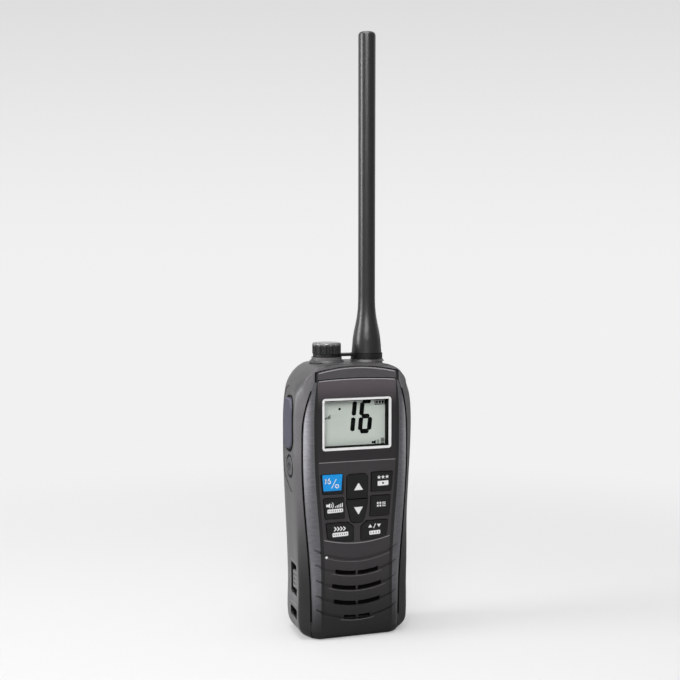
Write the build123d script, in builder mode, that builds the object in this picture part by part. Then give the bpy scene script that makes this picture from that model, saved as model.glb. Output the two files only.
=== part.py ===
"""Handheld marine VHF radio, upright on its foot.

X runs across the radio, the front face looks along -Y and +Z is up.
The origin is the middle of the foot, on the surface that the radio stands on.
"""

import os
from math import cos, radians, sqrt

from build123d import *

# ---------------------------------------------------------------- housing, mm
body_height = 131.0
front_reach = 15.5
back_reach = 15.5
foot_half_width = 27.0
chest_half_width = 29.5
width_levels = (22.6, 93.8)
foot_corner = 8.5
foot_edge = 3.5
shoulder_corner = 14.0
shoulder_lean = 0.11
shoulder_lean_height = 24.0
deck_edge = 1.8
face_half_low = 17.3
face_half_high = 20.7
face_levels = (30.8, 93.8)
seam_half_low = 21.7
seam_half_high = 25.8
seam_levels = (14.4, 86.7)
corner_half_low = 26.4
corner_half_high = 28.5
corner_levels = (48.0, 100.0)
corner_front = -11.2
corner_inset = 0.9
corner_least = 0.3
corner_step = 1.2
facet_drop = 2.5
facet_width = 4.0
facet_bulge = 0.45
facet_least = 0.6
back_flat_share = 0.76
foot_angles = (0, 22, 42, 66, 90)
side_shares = (0.17, 0.29, 0.41, 0.53, 0.64, 0.75, 0.83)
shoulder_shares = (1.0, 0.75, 0.54, 0.36, 0.21, 0.11, 0.04, 0.0)
cover_shares = (0.023, 0.06, 0.11, 0.23, 0.35, 0.47, 0.6)
neck_shares = (0.35, 0.7)
skin = 1.3
cover_wall = 1.5
seam_gap = 0.4
overrun = 2.0
trim_gap = 0.2

# ---------------------------------------------------------------- front cover
cover_top = 129.9
grip_top = 122.9
grip_widest = 97.8
grip_chin = 4.4
cover_neck_half = 20.6
cover_sag = 2.6
seam_share = 0.97
face_inset_share = 0.6
loft_clearance_share = 1.4
side_crest = 1.0
grip_setback = 0.6
grip_tip = 0.7
cover_depth = 5.0
bezel_half = 19.6
bezel_top = 123.7
bezel_foot = 85.1
bezel_arch = 0.8
panel_chin = 5.1
panel_inset = 1.1

# -------------------------------------------------------------------- display
window_width = 34.6
window_height = 24.7
window_centre = 102.9
window_line = 1.1
window_corner = 1.5
frame_depth = 1.1
lens_thickness = 1.2
lens_sink = 0.15
lcd_depth = 4.4
lcd_thickness = 1.5
backlight_thickness = 1.2
well_wall = 1.0
board_thickness = 1.6
board_front = 7.6
board_half = 21.0
board_foot = 45.0
board_top = 110.0
shield_size = (32.0, 14.0)
shield_height = 3.2
shield_low = 54.0
shield_high = 71.0

# ----------------------------------------------------------------------- keys
key_gap = 0.3
key_proud = 0.4
key_travel = 0.7
key_flange = 0.7
key_flange_lip = 0.7
key_corner = 0.8
row_one = (69.9, 79.6)
row_two = (58.1, 68.3)
row_three = (46.7, 56.5)
key_outer = (18.3, 17.4, 17.1, 16.3, 15.9, 15.0)
key_inner = (6.9, 6.7, 6.6, 6.1)
stem_half = 1.6
stem_cut = (4.6, 2.6)
rocker_half = 5.5
rocker_nose = 3.2
rocker_top = 79.2
rocker_foot = 55.5
rocker_split = 67.1
rocker_corner = 2.4
rocker_seam = 0.5
key_arc_radius = 58.0
mat_thickness = 1.4
dome_diameter = 5.0

# --------------------------------------------------------------------- grille
slot_centres = (38.5, 31.6, 24.4, 17.1, 10.3)
slot_half_widths = (0.0, 10.8, 12.4, 11.6, 6.6)
slot_height = 2.1
slot_radius = 44.0
rib_width = 1.0
groove_depth = 0.5
groove_height = 1.1
groove_reach = 21.6
strobe_place = (-15.3, 40.0)
strobe_diameter = 1.3
speaker_centre = 23.6
grille_window = (28.0, 27.0)
grille_window_corner = 3.5
speaker_diameter = 28.0
speaker_depth = 6.5
magnet_diameter = 15.0
magnet_depth = 3.0
membrane_thickness = 0.4
microphone_diameter = 5.0
microphone_depth = 2.4
microphone_place = (-12.0, 42.2)

# --------------------------------------------------------------- side buttons
ptt_centre = (0.1, 102.5)
ptt_size = (12.6, 24.4)
ptt_corner = 5.2
ptt_travel = 1.0
ptt_proud = 0.5
ptt_gap = 0.65
power_centre = (-1.6, 82.1)
power_size = (8.6, 9.2)
power_corner = 3.9
power_gap = 0.45
button_flange = 1.0
button_flange_lip = 1.0
button_edge = 0.3
flange_setback = 1.9
power_sink = 0.15
tact_height = 0.6
switch_board_size = (12.0, 40.0)
switch_board_thickness = 0.8
switch_board_shift = 0.5
wall_clearance = 0.3

# ---------------------------------------------------------------- side panels
panel_step = 0.35
side_panel_front = -10.2
side_panel_back = 9.6
side_panel_top = (119.0, 120.6)
side_panel_foot = (64.0, 79.0)
side_panel_corner = 6.0
side_panel_reach = (22.0, 32.0)

# -------------------------------------------------------------------- latches
latch_centre = (-2.4, 27.8)
latch_window = (10.8, 14.8)
latch_knob = (7.8, 8.4)
latch_depth = 4.2
latch_groove = 1.1
latch_groove_sink = 2.4
latch_rest = -0.5
latch_corner = 1.0
latch_sink = 0.3
latch_rib_pitch = 2.2
latch_rib_width = 0.7
latch_rib_depth = 0.4
notch_centre = (-2.4, 11.6)
notch_size = (11.8, 4.6)
notch_depth = 3.2
latch_block = (20.0, 14.8, 32.0)
latch_block_depth = 5.5
latch_block_centre = (-2.4, 22.6)

# -------------------------------------------------------------------- battery
bay_half = 19.4
bay_lip_half = 23.4
bay_lip_floor = 11.2
bay_foot = 5.5
bay_top = 100.0
bay_floor = 4.0
bay_wall = 1.6
pack_clearance = 0.3
pack_wall = 1.3
cell_count = 2
pack_ribs = 5
pack_rib_reach = 14.0
pack_rib_foot = 12.0
pack_rib_pitch = 4.0
pack_rib_length = 9.0
pack_rib_width = 1.6
pack_rib_depth = 0.7
cell_gap = 0.3
terminal_size = (4.0, 6.0)
terminal_thickness = 0.6
terminal_pitch = 8.0
terminal_height = 90.0
terminal_seal_size = (27.0, 11.0)
pin_diameter = 1.8
seal_width = 1.2
seal_depth = 0.8
seal_inset = 0.9

# ------------------------------------------------------------ top of the case
cap_centre = (-9.0, 3.0)
cap_diameter = 13.8
cap_height = 5.2
cap_flutes = 14
cap_flute_diameter = 2.0
cap_edge = 0.6
cap_lid = 0.9
band_diameter = 14.6
band_height = 1.4
pedestal_diameter = 15.6
pedestal_foot_diameter = 17.2
pedestal_height = 1.0
pedestal_root = 9.0
socket_diameter = 7.2
socket_height = 3.2
socket_root = 12.0
jack_bore = 3.6
gasket_height = 0.8
skirt_diameter = 9.4
ring_diameter = 13.2
ring_thickness = 1.3
strap_width = 5.6
antenna_centre = (11.5, 3.0)
antenna_tip = 288.6
antenna_foot_diameter = 14.6
antenna_bell_diameter = 13.5
antenna_shaft_diameter = 8.2
antenna_tip_diameter = 8.4
antenna_tip_flat = 2.4
antenna_bell_height = 6.5
antenna_flare_height = 17.0
antenna_shaft_height = 27.0
antenna_flare_diameter = 9.6
antenna_bell_lean = (-0.12, 1.0)
collar_diameter = 15.4
bush_diameter = 9.0
bush_length = 9.5
stud_diameter = 6.0
stud_length = 5.0
connector_diameter = 9.0
connector_height = 7.0
core_diameter = 3.0
core_height = 146.0
running_fit = 0.05
loose_fit = 0.2
stack_gap = 0.15
seat_gap = 0.1

# --------------------------------------------------------------------- screws
screw_diameter = 2.5
screw_head_diameter = 4.6
screw_head_height = 1.6
screw_slot_length = 2.6
screw_slot_width = 0.6
boss_diameter = 5.0
boss_sink = 0.7
case_boss_diameter = 7.0
upper_screws = (16.0, 119.5)
lower_screws = (16.5, 8.2)
screw_grip = 5.0
upper_boss_reach = 1.8
lower_boss_reach = -1.2
clip_spacing = 14.0
clip_height = 108.0
clip_hole_diameter = 2.5
clip_hole_depth = 4.0


# ------------------------------------------------------------- derived values
def smooth(value, low, high):
    """Rise from 0 at low to 1 at high without a corner."""
    share = min(max((value - low) / (high - low), 0.0), 1.0)
    return share * share * (3 - 2 * share)


def rounding(distance, radius):
    """How far a rounded edge stands back, at a distance from its end."""
    if distance >= radius:
        return 0.0
    return radius - sqrt(radius**2 - (radius - distance) ** 2)


def side_half(z):
    """Half the width of the case at a height."""
    rise = smooth(z, *width_levels)
    straight = foot_half_width + (chest_half_width - foot_half_width) * rise
    below_top = body_height - z
    lean = shoulder_lean * max(shoulder_lean_height - below_top, 0.0)
    return straight - rounding(z, foot_corner) - rounding(below_top, shoulder_corner) - lean


def face_half(z):
    """Half the width of the flat front at a height."""
    return face_half_low + (face_half_high - face_half_low) * smooth(z, *face_levels)


def seam_half(z):
    """Half the width of the front cover at a height."""
    return seam_half_low + (seam_half_high - seam_half_low) * smooth(z, *seam_levels)


def corner_half(z):
    """Half the width where the case's side turns in towards the front cover, at a height."""
    rise = corner_half_high - corner_half_low
    return min(corner_half_low + rise * smooth(z, *corner_levels), side_half(z) - corner_inset)


def edge_setback(z):
    """How far the foot and deck edges turn in at front and back."""
    foot_share = rounding(z, foot_corner) / foot_corner
    return foot_edge * foot_share + rounding(body_height - z, deck_edge)


def cover_half(z):
    """Half the width of the front cover's own outline at a height below its neck."""
    share = max(z - grip_widest, 0.0) / (grip_top - grip_widest)
    half = seam_half(z) - (seam_half_high - cover_neck_half) * share**2
    return min(half, side_half(z) * seam_share)


def chin_arc(x):
    """Height of the arc that closes the keypad below."""
    return row_three[0] + x**2 / (2 * key_arc_radius)


def slot_line(height, x):
    """Height of a grille slot's own arc at a distance from the middle."""
    return height + slot_radius - sqrt(slot_radius**2 - x**2)


front_wall = skin + cover_wall
skin_back = -front_reach + skin
cover_back = -front_reach + front_wall
lcd_face = -front_reach + lcd_depth
lcd_back = lcd_face + lcd_thickness
board_face = -board_front
board_back = board_face + board_thickness
pedestal_top = body_height + pedestal_height
band_top = pedestal_top + band_height
bay_depth = back_reach - bay_floor
face_plane = Plane.XZ.offset(front_reach + key_proud)

foot_levels = [foot_corner * (1 - cos(radians(angle))) for angle in foot_angles]
side_levels = [body_height * share for share in side_shares]
cover_levels = [body_height * share for share in cover_shares]
neck_levels = [grip_widest + (grip_top - grip_widest) * share for share in neck_shares]
shoulder_levels = [body_height - shoulder_corner * share for share in shoulder_shares]
loft_levels = foot_levels + side_levels + shoulder_levels


def case_section(z, inset):
    """Plan of the case at a height, moved in by a wall."""
    side = side_half(z) - inset
    front = inset - front_reach + edge_setback(z)
    back = back_reach - edge_setback(z) - inset
    seam = min(seam_half(z), side_half(z) * seam_share) - inset
    face = min(face_half(z) - inset * face_inset_share, seam - facet_least)
    turn = min((seam - face) / facet_width, 1.0)
    facet = front + facet_drop * turn
    bulge = facet_bulge * turn
    corner = max(corner_half(z) - inset, seam + corner_least * (side - seam))
    turn_in = max(corner_front + inset, facet + corner_step)
    side_lean = (corner - seam, turn_in - facet)
    crest = ((face + seam) / 2 + bulge * facet_drop / facet_width, (front + facet) / 2 - bulge)
    back_flat = side * back_flat_share
    with BuildSketch(Plane.XY.offset(z)) as section:
        with BuildLine() as outline:
            Line((0, front), (face, front))
            ThreePointArc((face, front), crest, (seam, facet))
            Spline(
                (seam, facet),
                (corner, turn_in),
                (side, side_crest),
                tangents=(side_lean, (0.0, 1.0)),
            )
            Spline((side, side_crest), (back_flat, back), tangents=((0.0, 1.0), (-1.0, 0.0)))
            Line((back_flat, back), (0, back))
            mirror(about=Plane.YZ)
        make_face()
    return section.sketch


def case_body(inset, straight=False):
    """The case's outer form, moved in by a wall all round, with smooth or straight walls."""
    clear = loft_clearance_share * inset
    levels = [z for z in loft_levels if clear < z < body_height - clear]
    if inset:
        levels = [inset] + levels + [body_height - inset]
    else:
        levels = [0.0] + levels + [body_height]
    with BuildPart() as body:
        loft(sections=[case_section(z, inset) for z in levels], ruled=straight)
    return body.part


outer_form = case_body(0.0)
step_form = case_body(panel_step)
skin_form = case_body(skin)
inner_form = case_body(front_wall, straight=True)


def cover_outline(grow):
    """Front view of the cover, widened by a gap."""
    rise = [0.0, *cover_levels, grip_widest, *neck_levels, grip_top]
    with BuildSketch(face_plane) as outline:
        with BuildLine():
            right = [(cover_half(z) + grow, z) for z in rise]
            brow_end = (right[-1][0], cover_top - cover_sag + grow)
            brow_mid = (right[-1][0] / 2, cover_top - cover_sag / 4 + grow)
            Spline(right)
            Line(right[-1], brow_end)
            ThreePointArc(brow_end, brow_mid, (0, cover_top + grow))
            Polyline((0, -overrun), (right[0][0], -overrun), right[0])
            mirror(about=Plane.YZ)
        make_face()
    return outline.sketch


def grip_region():
    """Front view of the right-hand grip's pocket, which runs out over the cover's edge."""
    outside = 2 * chest_half_width
    rise = [grip_chin, *cover_levels[2:], grip_widest, neck_levels[0]]
    with BuildSketch(face_plane) as region:
        with BuildLine():
            inner_edge = [(face_half(z) + grip_setback, z) for z in rise]
            inner_edge.append((cover_neck_half - grip_tip, grip_top))
            Spline(inner_edge)
            Polyline(inner_edge[-1], (outside, grip_top), (outside, grip_chin), inner_edge[0])
        make_face()
    return region.sketch


def grip_outline():
    """Front view of the right-hand grip."""
    with BuildSketch(face_plane) as outline:
        add(grip_region())
        add(cover_outline(0.0), mode=Mode.INTERSECT)
    return outline.sketch


def plate_outline(half_foot, half_top, foot, top, arch, corner):
    """Front view of an inlaid plate that is wider at one end, with an arched top edge."""
    with BuildSketch(face_plane) as outline:
        with BuildLine():
            Polyline((-half_top, top), (-half_foot, foot), (half_foot, foot), (half_top, top))
            ThreePointArc((half_top, top), (0, top + arch), (-half_top, top))
        make_face()
        fillet(outline.vertices(), corner)
    return outline.sketch


def key_face(top_outer, foot_outer, top_inner, foot_inner, row, side):
    """Opening of a four-sided key, on the left (-1) or right (+1)."""
    foot, top = row
    with BuildSketch(face_plane) as opening:
        with BuildLine():
            Polyline(
                (side * top_inner, top),
                (side * top_outer, top),
                (side * foot_outer, foot),
                (side * foot_inner, foot),
                close=True,
            )
        make_face()
        fillet(opening.vertices(), key_corner)
    return opening.sketch


def chin_key_face(side):
    """Opening of a key in the lowest row, with its notched corner and curved foot."""
    top_outer, foot_outer = key_outer[4:]
    top = row_three[1]
    corner = (side * stem_half, top - stem_cut[1])
    foot_inner = (side * stem_half, chin_arc(stem_half))
    foot_mid = (side * foot_outer / 2, chin_arc(foot_outer / 2))
    foot_end = (side * foot_outer, chin_arc(foot_outer))
    with BuildSketch(face_plane) as opening:
        with BuildLine():
            Polyline(foot_inner, corner, (side * stem_cut[0], top), (side * top_outer, top), foot_end)
            ThreePointArc(foot_end, foot_mid, foot_inner)
        make_face()
        fillet(opening.vertices(), key_corner)
    return opening.sketch


def rocker_face():
    """Opening of the tall oblong that holds the up and down keys."""
    with BuildSketch(face_plane) as opening:
        with BuildLine():
            Polyline(
                (-rocker_half, rocker_top),
                (rocker_half, rocker_top),
                (rocker_half, rocker_split - rocker_corner),
                (rocker_nose, rocker_foot),
                (-rocker_nose, rocker_foot),
                (-rocker_half, rocker_split - rocker_corner),
                close=True,
            )
        make_face()
        fillet(opening.vertices(), rocker_corner)
    return opening.sketch


def half_rocker(low, high):
    """The part of the oblong between two heights."""
    with BuildSketch(face_plane) as half:
        add(rocker_face())
        with Locations((0, (low + high) / 2)):
            Rectangle(4 * rocker_half, high - low, mode=Mode.INTERSECT)
    return half.sketch


key_openings = {
    "key_channel": key_face(*key_outer[0:2], *key_inner[0:2], row_one, -1),
    "key_favorite": key_face(*key_outer[0:2], *key_inner[0:2], row_one, 1),
    "key_volume": key_face(*key_outer[2:4], *key_inner[2:4], row_two, -1),
    "key_select": key_face(*key_outer[2:4], *key_inner[2:4], row_two, 1),
    "key_scan": chin_key_face(-1),
    "key_power_level": chin_key_face(1),
    "key_up": half_rocker(rocker_split + rocker_seam / 2 - key_gap, rocker_top),
    "key_down": half_rocker(rocker_foot, rocker_split - rocker_seam / 2 + key_gap),
}


def slot_face(height, half_width, thickness):
    """Outline of one smiling grille slot."""
    low, high = height - thickness / 2, height + thickness / 2
    with BuildSketch(face_plane) as slot:
        with BuildLine():
            lower = [(x, slot_line(low, x)) for x in (-half_width, 0, half_width)]
            upper = [(x, slot_line(high, x)) for x in (half_width, 0, -half_width)]
            ThreePointArc(*lower)
            Line(lower[-1], upper[0])
            ThreePointArc(*upper)
            Line(upper[-1], lower[0])
        make_face()
    return slot.sketch


os.makedirs("parts", exist_ok=True)
written = []


def save(name, part):
    """Label a finished piece and write it."""
    part.label = name
    export_step(part, f"parts/{name}.step")
    written.append(name)


# ------------------------------------------------------------ shared outlines
bezel_face = plate_outline(bezel_half, bezel_half, bezel_foot, bezel_top, bezel_arch, key_corner)
window_place = (0, window_centre)
window_room = (window_width - 2 * window_line, window_height - 2 * window_line)
well_room = (window_room[0] - well_wall, window_room[1] - well_wall)

with BuildSketch(face_plane) as brow_face:
    with Locations((0, body_height)):
        Rectangle(2 * bezel_half, 2 * (body_height - bezel_top - trim_gap))
    with BuildSketch(face_plane, mode=Mode.PRIVATE) as bezel_room:
        add(bezel_face)
        offset(amount=trim_gap)
    add(bezel_room.sketch, mode=Mode.SUBTRACT)
    add(cover_outline(0.0), mode=Mode.INTERSECT)

with BuildSketch(face_plane) as all_keys:
    for opening in key_openings.values():
        add(opening)
    add(rocker_face())

with BuildSketch(face_plane) as panel_face:
    with BuildLine():
        panel_levels = [panel_chin, *cover_levels[2:-1], bezel_foot - trim_gap]
        panel_edge = [(face_half(z) - panel_inset, z) for z in panel_levels]
        Spline(panel_edge)
        Polyline(panel_edge[-1], (0, panel_edge[-1][1]))
        Polyline((0, panel_edge[0][1]), panel_edge[0])
        mirror(about=Plane.YZ)
    make_face()

with BuildSketch(face_plane) as speaker_window:
    with Locations((0, speaker_centre)):
        RectangleRounded(*grille_window, grille_window_corner)

upper_places = [(side * upper_screws[0], upper_screws[1]) for side in (-1, 1)]
lower_places = [(side * lower_screws[0], lower_screws[1]) for side in (-1, 1)]
through_cover = -(key_proud + front_wall + overrun)


def fitted(sketch, reach):
    """A piece of the case's skin: what lies behind an outline, between the outer form and its lining."""
    with BuildPart() as piece:
        extrude(sketch, amount=-reach)
        add(outer_form, mode=Mode.INTERSECT)
        add(skin_form, mode=Mode.SUBTRACT)
    return piece.part


# ---------------------------------------------------------------- front cover
with BuildPart() as front_cover:
    extrude(cover_outline(0.0), amount=-(cover_depth + key_proud))
    add(outer_form, mode=Mode.INTERSECT)
    add(inner_form, mode=Mode.SUBTRACT)
    for places, reach in ((upper_places, upper_boss_reach), (lower_places, lower_boss_reach)):
        with BuildSketch(Plane.XZ.offset(-cover_back + boss_sink)):
            with Locations(*places):
                Circle(boss_diameter / 2)
        extrude(amount=-(reach - cover_back + boss_sink))
        with BuildSketch(Plane.XZ.offset(-reach)):
            with Locations(*places):
                Circle(screw_diameter / 2 + running_fit)
        extrude(amount=screw_grip + running_fit, mode=Mode.SUBTRACT)
    grip_pockets = (grip_region(), mirror(grip_region(), Plane.YZ))
    for pocket in (bezel_face, brow_face.sketch, panel_face.sketch, *grip_pockets):
        with BuildPart(mode=Mode.PRIVATE) as recess:
            extrude(pocket, amount=-(cover_depth + key_proud))
            add(skin_form, mode=Mode.SUBTRACT)
        add(recess.part, mode=Mode.SUBTRACT)
    extrude(all_keys.sketch, amount=through_cover, mode=Mode.SUBTRACT)
    extrude(speaker_window.sketch, amount=through_cover, mode=Mode.SUBTRACT)
    for height in slot_centres:
        groove = slot_face(height, groove_reach, groove_height)
        extrude(groove, amount=-(key_proud + groove_depth), mode=Mode.SUBTRACT)
    with BuildSketch(face_plane):
        with Locations(window_place):
            Rectangle(*window_room)
    extrude(amount=through_cover, mode=Mode.SUBTRACT)
    with BuildSketch(face_plane):
        with Locations(strobe_place):
            Circle(strobe_diameter / 2)
    extrude(amount=through_cover, mode=Mode.SUBTRACT)
save("front_cover", front_cover.part)

save("brow_trim", fitted(brow_face.sketch, cover_depth + key_proud))

with BuildPart() as display_bezel:
    add(fitted(bezel_face, cover_depth + key_proud))
    with BuildSketch(face_plane):
        with Locations(window_place):
            RectangleRounded(window_width, window_height, window_corner)
    extrude(amount=through_cover, mode=Mode.SUBTRACT)
save("display_bezel", display_bezel.part)

with BuildPart() as front_panel:
    add(fitted(panel_face.sketch, cover_depth + key_proud))
    extrude(all_keys.sketch, amount=through_cover, mode=Mode.SUBTRACT)
    for height, half_width in zip(slot_centres, slot_half_widths):
        groove = slot_face(height, groove_reach, groove_height)
        extrude(groove, amount=-(key_proud + groove_depth), mode=Mode.SUBTRACT)
        if half_width:
            for side in (-1, 1):
                with BuildSketch(face_plane) as half_slot:
                    add(slot_face(height, half_width, slot_height))
                    with Locations((side * (groove_reach + rib_width) / 2, height)):
                        Rectangle(groove_reach, slot_radius, mode=Mode.INTERSECT)
                extrude(half_slot.sketch, amount=through_cover, mode=Mode.SUBTRACT)
    with BuildSketch(face_plane):
        with Locations(strobe_place):
            Circle(strobe_diameter / 2)
    extrude(amount=through_cover, mode=Mode.SUBTRACT)
save("front_panel", front_panel.part)

with BuildPart() as right_grip:
    add(fitted(grip_outline(), cover_depth + key_proud))
    for height in slot_centres:
        groove = slot_face(height, groove_reach, groove_height)
        extrude(groove, amount=-(key_proud + 2 * groove_depth), mode=Mode.SUBTRACT)
save("right_grip", right_grip.part)
save("left_grip", mirror(right_grip.part, Plane.YZ))

# -------------------------------------------------------------------- display
with BuildPart() as window_frame:
    with BuildSketch(Plane.XZ.offset(front_reach - lens_sink / 2)):
        with Locations(window_place):
            RectangleRounded(window_width, window_height, window_corner)
            Rectangle(*window_room, mode=Mode.SUBTRACT)
    extrude(amount=-frame_depth)
save("window_frame", window_frame.part)

with BuildPart() as window_lens:
    with BuildSketch(Plane.XZ.offset(front_reach - lens_sink)):
        with Locations(window_place):
            Rectangle(*window_room)
    extrude(amount=-lens_thickness)
save("window_lens", window_lens.part)

well_front = -front_reach + lens_sink + lens_thickness
with BuildPart() as display_well:
    with BuildSketch(Plane.XZ.offset(-well_front)):
        with Locations(window_place):
            Rectangle(*window_room)
    extrude(amount=-(lcd_face - well_front))
    with BuildSketch(Plane.XZ.offset(-cover_back - wall_clearance)):
        with Locations(window_place):
            Rectangle(window_width + 2 * well_wall, window_height + 2 * well_wall)
    extrude(amount=-(lcd_back + backlight_thickness - cover_back - wall_clearance))
    with BuildSketch(Plane.XZ.offset(-well_front)):
        with Locations(window_place):
            Rectangle(*well_room)
    extrude(amount=-(lcd_back + backlight_thickness - well_front), mode=Mode.SUBTRACT)
    with BuildSketch(Plane.XZ.offset(-lcd_face)):
        with Locations(window_place):
            Rectangle(window_width, window_height)
    extrude(amount=-(lcd_thickness + backlight_thickness), mode=Mode.SUBTRACT)
save("display_well", display_well.part)

with BuildPart() as lcd_panel:
    with BuildSketch(Plane.XZ.offset(-lcd_face)):
        with Locations(window_place):
            Rectangle(window_width, window_height)
    extrude(amount=-lcd_thickness)
save("lcd_panel", lcd_panel.part)

with BuildPart() as backlight:
    with BuildSketch(Plane.XZ.offset(-lcd_back)):
        with Locations(window_place):
            Rectangle(window_width, window_height)
    extrude(amount=-backlight_thickness)
save("backlight", backlight.part)

with BuildPart() as strobe_lens:
    with BuildSketch(Plane.XZ.offset(front_reach + lens_sink)):
        with Locations(strobe_place):
            Circle(strobe_diameter / 2 - running_fit)
    extrude(amount=-(front_wall + lens_sink))
    fillet(strobe_lens.faces().sort_by(Axis.Y)[0].edges(), lens_sink)
save("strobe_lens", strobe_lens.part)

# ----------------------------------------------------------------------- keys
flange_face = cover_back + wall_clearance
flange_back = flange_face + key_flange
mat_face = flange_back + key_travel + wall_clearance
for key_name, opening in key_openings.items():
    with BuildPart() as key:
        with BuildSketch(face_plane):
            add(opening)
            offset(amount=-key_gap, kind=Kind.INTERSECTION, mode=Mode.REPLACE)
        extrude(amount=-(flange_back + front_reach + key_proud))
        with BuildSketch(Plane.XZ.offset(-flange_face)):
            add(opening.moved(Location((0, flange_face + front_reach + key_proud, 0))))
            offset(amount=-key_gap / 2, kind=Kind.INTERSECTION, mode=Mode.REPLACE)
        extrude(amount=-key_flange)
    save(key_name, key.part)

with BuildPart() as key_mat:
    with BuildSketch(Plane.XZ.offset(-mat_face)):
        with Locations((0, (row_three[0] + row_one[1]) / 2)):
            Rectangle(2 * key_outer[0], row_one[1] - row_three[0] + 2 * key_flange_lip)
    extrude(amount=-mat_thickness)
save("key_mat", key_mat.part)

key_centres = [opening.bounding_box().center() for opening in key_openings.values()]
dome_places = [(centre.X, centre.Z) for centre in key_centres]
dome_top = mat_face + mat_thickness + stack_gap
with BuildPart() as dome_switches:
    with BuildSketch(Plane.XZ.offset(-dome_top)):
        with Locations(*dome_places):
            Circle(dome_diameter / 2)
    extrude(amount=-(board_face - dome_top))
save("dome_switches", dome_switches.part)

# ---------------------------------------------------------------- electronics
with BuildPart() as main_board:
    with BuildSketch(Plane.XZ.offset(-board_face)):
        with Locations((0, (board_foot + board_top) / 2)):
            Rectangle(2 * board_half, board_top - board_foot)
    extrude(amount=-board_thickness)
save("main_board", main_board.part)

with BuildPart() as rf_shields:
    with BuildSketch(Plane.XZ.offset(-board_back)):
        with Locations((0, shield_low), (0, shield_high)):
            RectangleRounded(*shield_size, key_corner)
    extrude(amount=-shield_height)
save("rf_shields", rf_shields.part)

speaker_front = cover_back + seat_gap
magnet_front = speaker_front + speaker_depth - magnet_depth
with BuildPart() as speaker_frame:
    with BuildSketch(Plane.XZ.offset(-speaker_front)):
        with Locations((0, speaker_centre)):
            Circle(speaker_diameter / 2)
            Circle(speaker_diameter / 2 - well_wall, mode=Mode.SUBTRACT)
    extrude(amount=-(speaker_depth - magnet_depth))
    with BuildSketch(Plane.XZ.offset(-magnet_front + well_wall)):
        with Locations((0, speaker_centre)):
            Circle(speaker_diameter / 2)
    extrude(amount=-well_wall)
save("speaker_frame", speaker_frame.part)

cone_base = magnet_front - well_wall
cone_rim = speaker_front + well_wall / 2
with BuildPart() as speaker_cone:
    with BuildSketch(Plane.YZ):
        with BuildLine():
            Polyline(
                (cone_rim, speaker_centre + speaker_diameter / 2 - well_wall),
                (cone_base, speaker_centre + magnet_diameter / 2),
                (cone_base, speaker_centre),
                (cone_base - well_wall / 2, speaker_centre),
                (cone_base - well_wall / 2, speaker_centre + magnet_diameter / 2 - well_wall / 4),
                (cone_rim - well_wall / 2 + seat_gap, speaker_centre + speaker_diameter / 2 - well_wall),
                close=True,
            )
        make_face()
    revolve(axis=Axis((0, 0, speaker_centre), (0, 1, 0)))
save("speaker_cone", speaker_cone.part)

with BuildPart() as speaker_magnet:
    with BuildSketch(Plane.XZ.offset(-magnet_front)):
        with Locations((0, speaker_centre)):
            Circle(magnet_diameter / 2)
    extrude(amount=-magnet_depth)
save("speaker_magnet", speaker_magnet.part)

with BuildPart() as grille_membrane:
    membrane_front = skin_back + 2 * seat_gap
    with BuildSketch(Plane.XZ.offset(-membrane_front)):
        add(speaker_window.sketch.moved(Location((0, membrane_front + front_reach + key_proud, 0))))
        offset(amount=-seat_gap, mode=Mode.REPLACE)
    extrude(amount=-membrane_thickness)
save("grille_membrane", grille_membrane.part)

with BuildPart() as microphone:
    with BuildSketch(Plane.XZ.offset(-speaker_front)):
        with Locations(microphone_place):
            Circle(microphone_diameter / 2)
    extrude(amount=-microphone_depth)
save("microphone", microphone.part)

# ------------------------------------------------------------------ main case
latch_surface = side_half(latch_centre[1])
pocket_floor = latch_surface - latch_depth
groove_ceiling = latch_surface - latch_groove_sink
notch_surface = side_half(notch_centre[1])


def side_plug(centre, size, corner, grow):
    """Rounded outline on the side of the case."""
    with BuildSketch(Plane.YZ) as outline:
        with Locations(centre):
            RectangleRounded(size[0] + 2 * grow, size[1] + 2 * grow, corner + grow)
    return outline.sketch


with BuildPart() as latch_pockets:
    with BuildSketch(Plane.YZ.offset(pocket_floor)):
        with Locations(latch_centre):
            RectangleRounded(*latch_window, latch_corner)
    extrude(amount=2 * latch_depth)
    with BuildSketch(Plane.YZ.offset(pocket_floor)):
        with Locations(latch_centre):
            Rectangle(latch_window[0] + 2 * latch_groove, latch_window[1])
    extrude(amount=groove_ceiling - pocket_floor)
    with BuildSketch(Plane.YZ.offset(notch_surface - notch_depth)):
        with Locations(notch_centre):
            RectangleRounded(*notch_size, latch_corner)
    extrude(amount=2 * notch_depth)
    mirror(about=Plane.YZ)


with BuildPart() as side_panels:
    with BuildSketch(Plane.YZ.offset(side_panel_reach[0])) as side_panel:
        Polygon(
            (side_panel_front, side_panel_top[0]),
            (side_panel_back, side_panel_top[1]),
            (side_panel_back, side_panel_foot[1]),
            (side_panel_front, side_panel_foot[0]),
            align=None,
        )
        fillet(side_panel.vertices(), side_panel_corner)
    extrude(amount=side_panel_reach[1] - side_panel_reach[0])
    mirror(about=Plane.YZ)
    add(step_form, mode=Mode.SUBTRACT)


def bay_form(grow):
    """The room for the battery, wider near the back, grown by a wall."""
    with BuildPart() as room:
        for half, floor in ((bay_half, bay_floor), (bay_lip_half, bay_lip_floor)):
            with Locations((0, floor - grow + bay_depth, (bay_foot + bay_top) / 2)):
                Box(2 * (half + grow), 2 * bay_depth, bay_top - bay_foot + 2 * grow)
    return room.part


cover_foot = -front_reach + cover_depth + seat_gap


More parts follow.
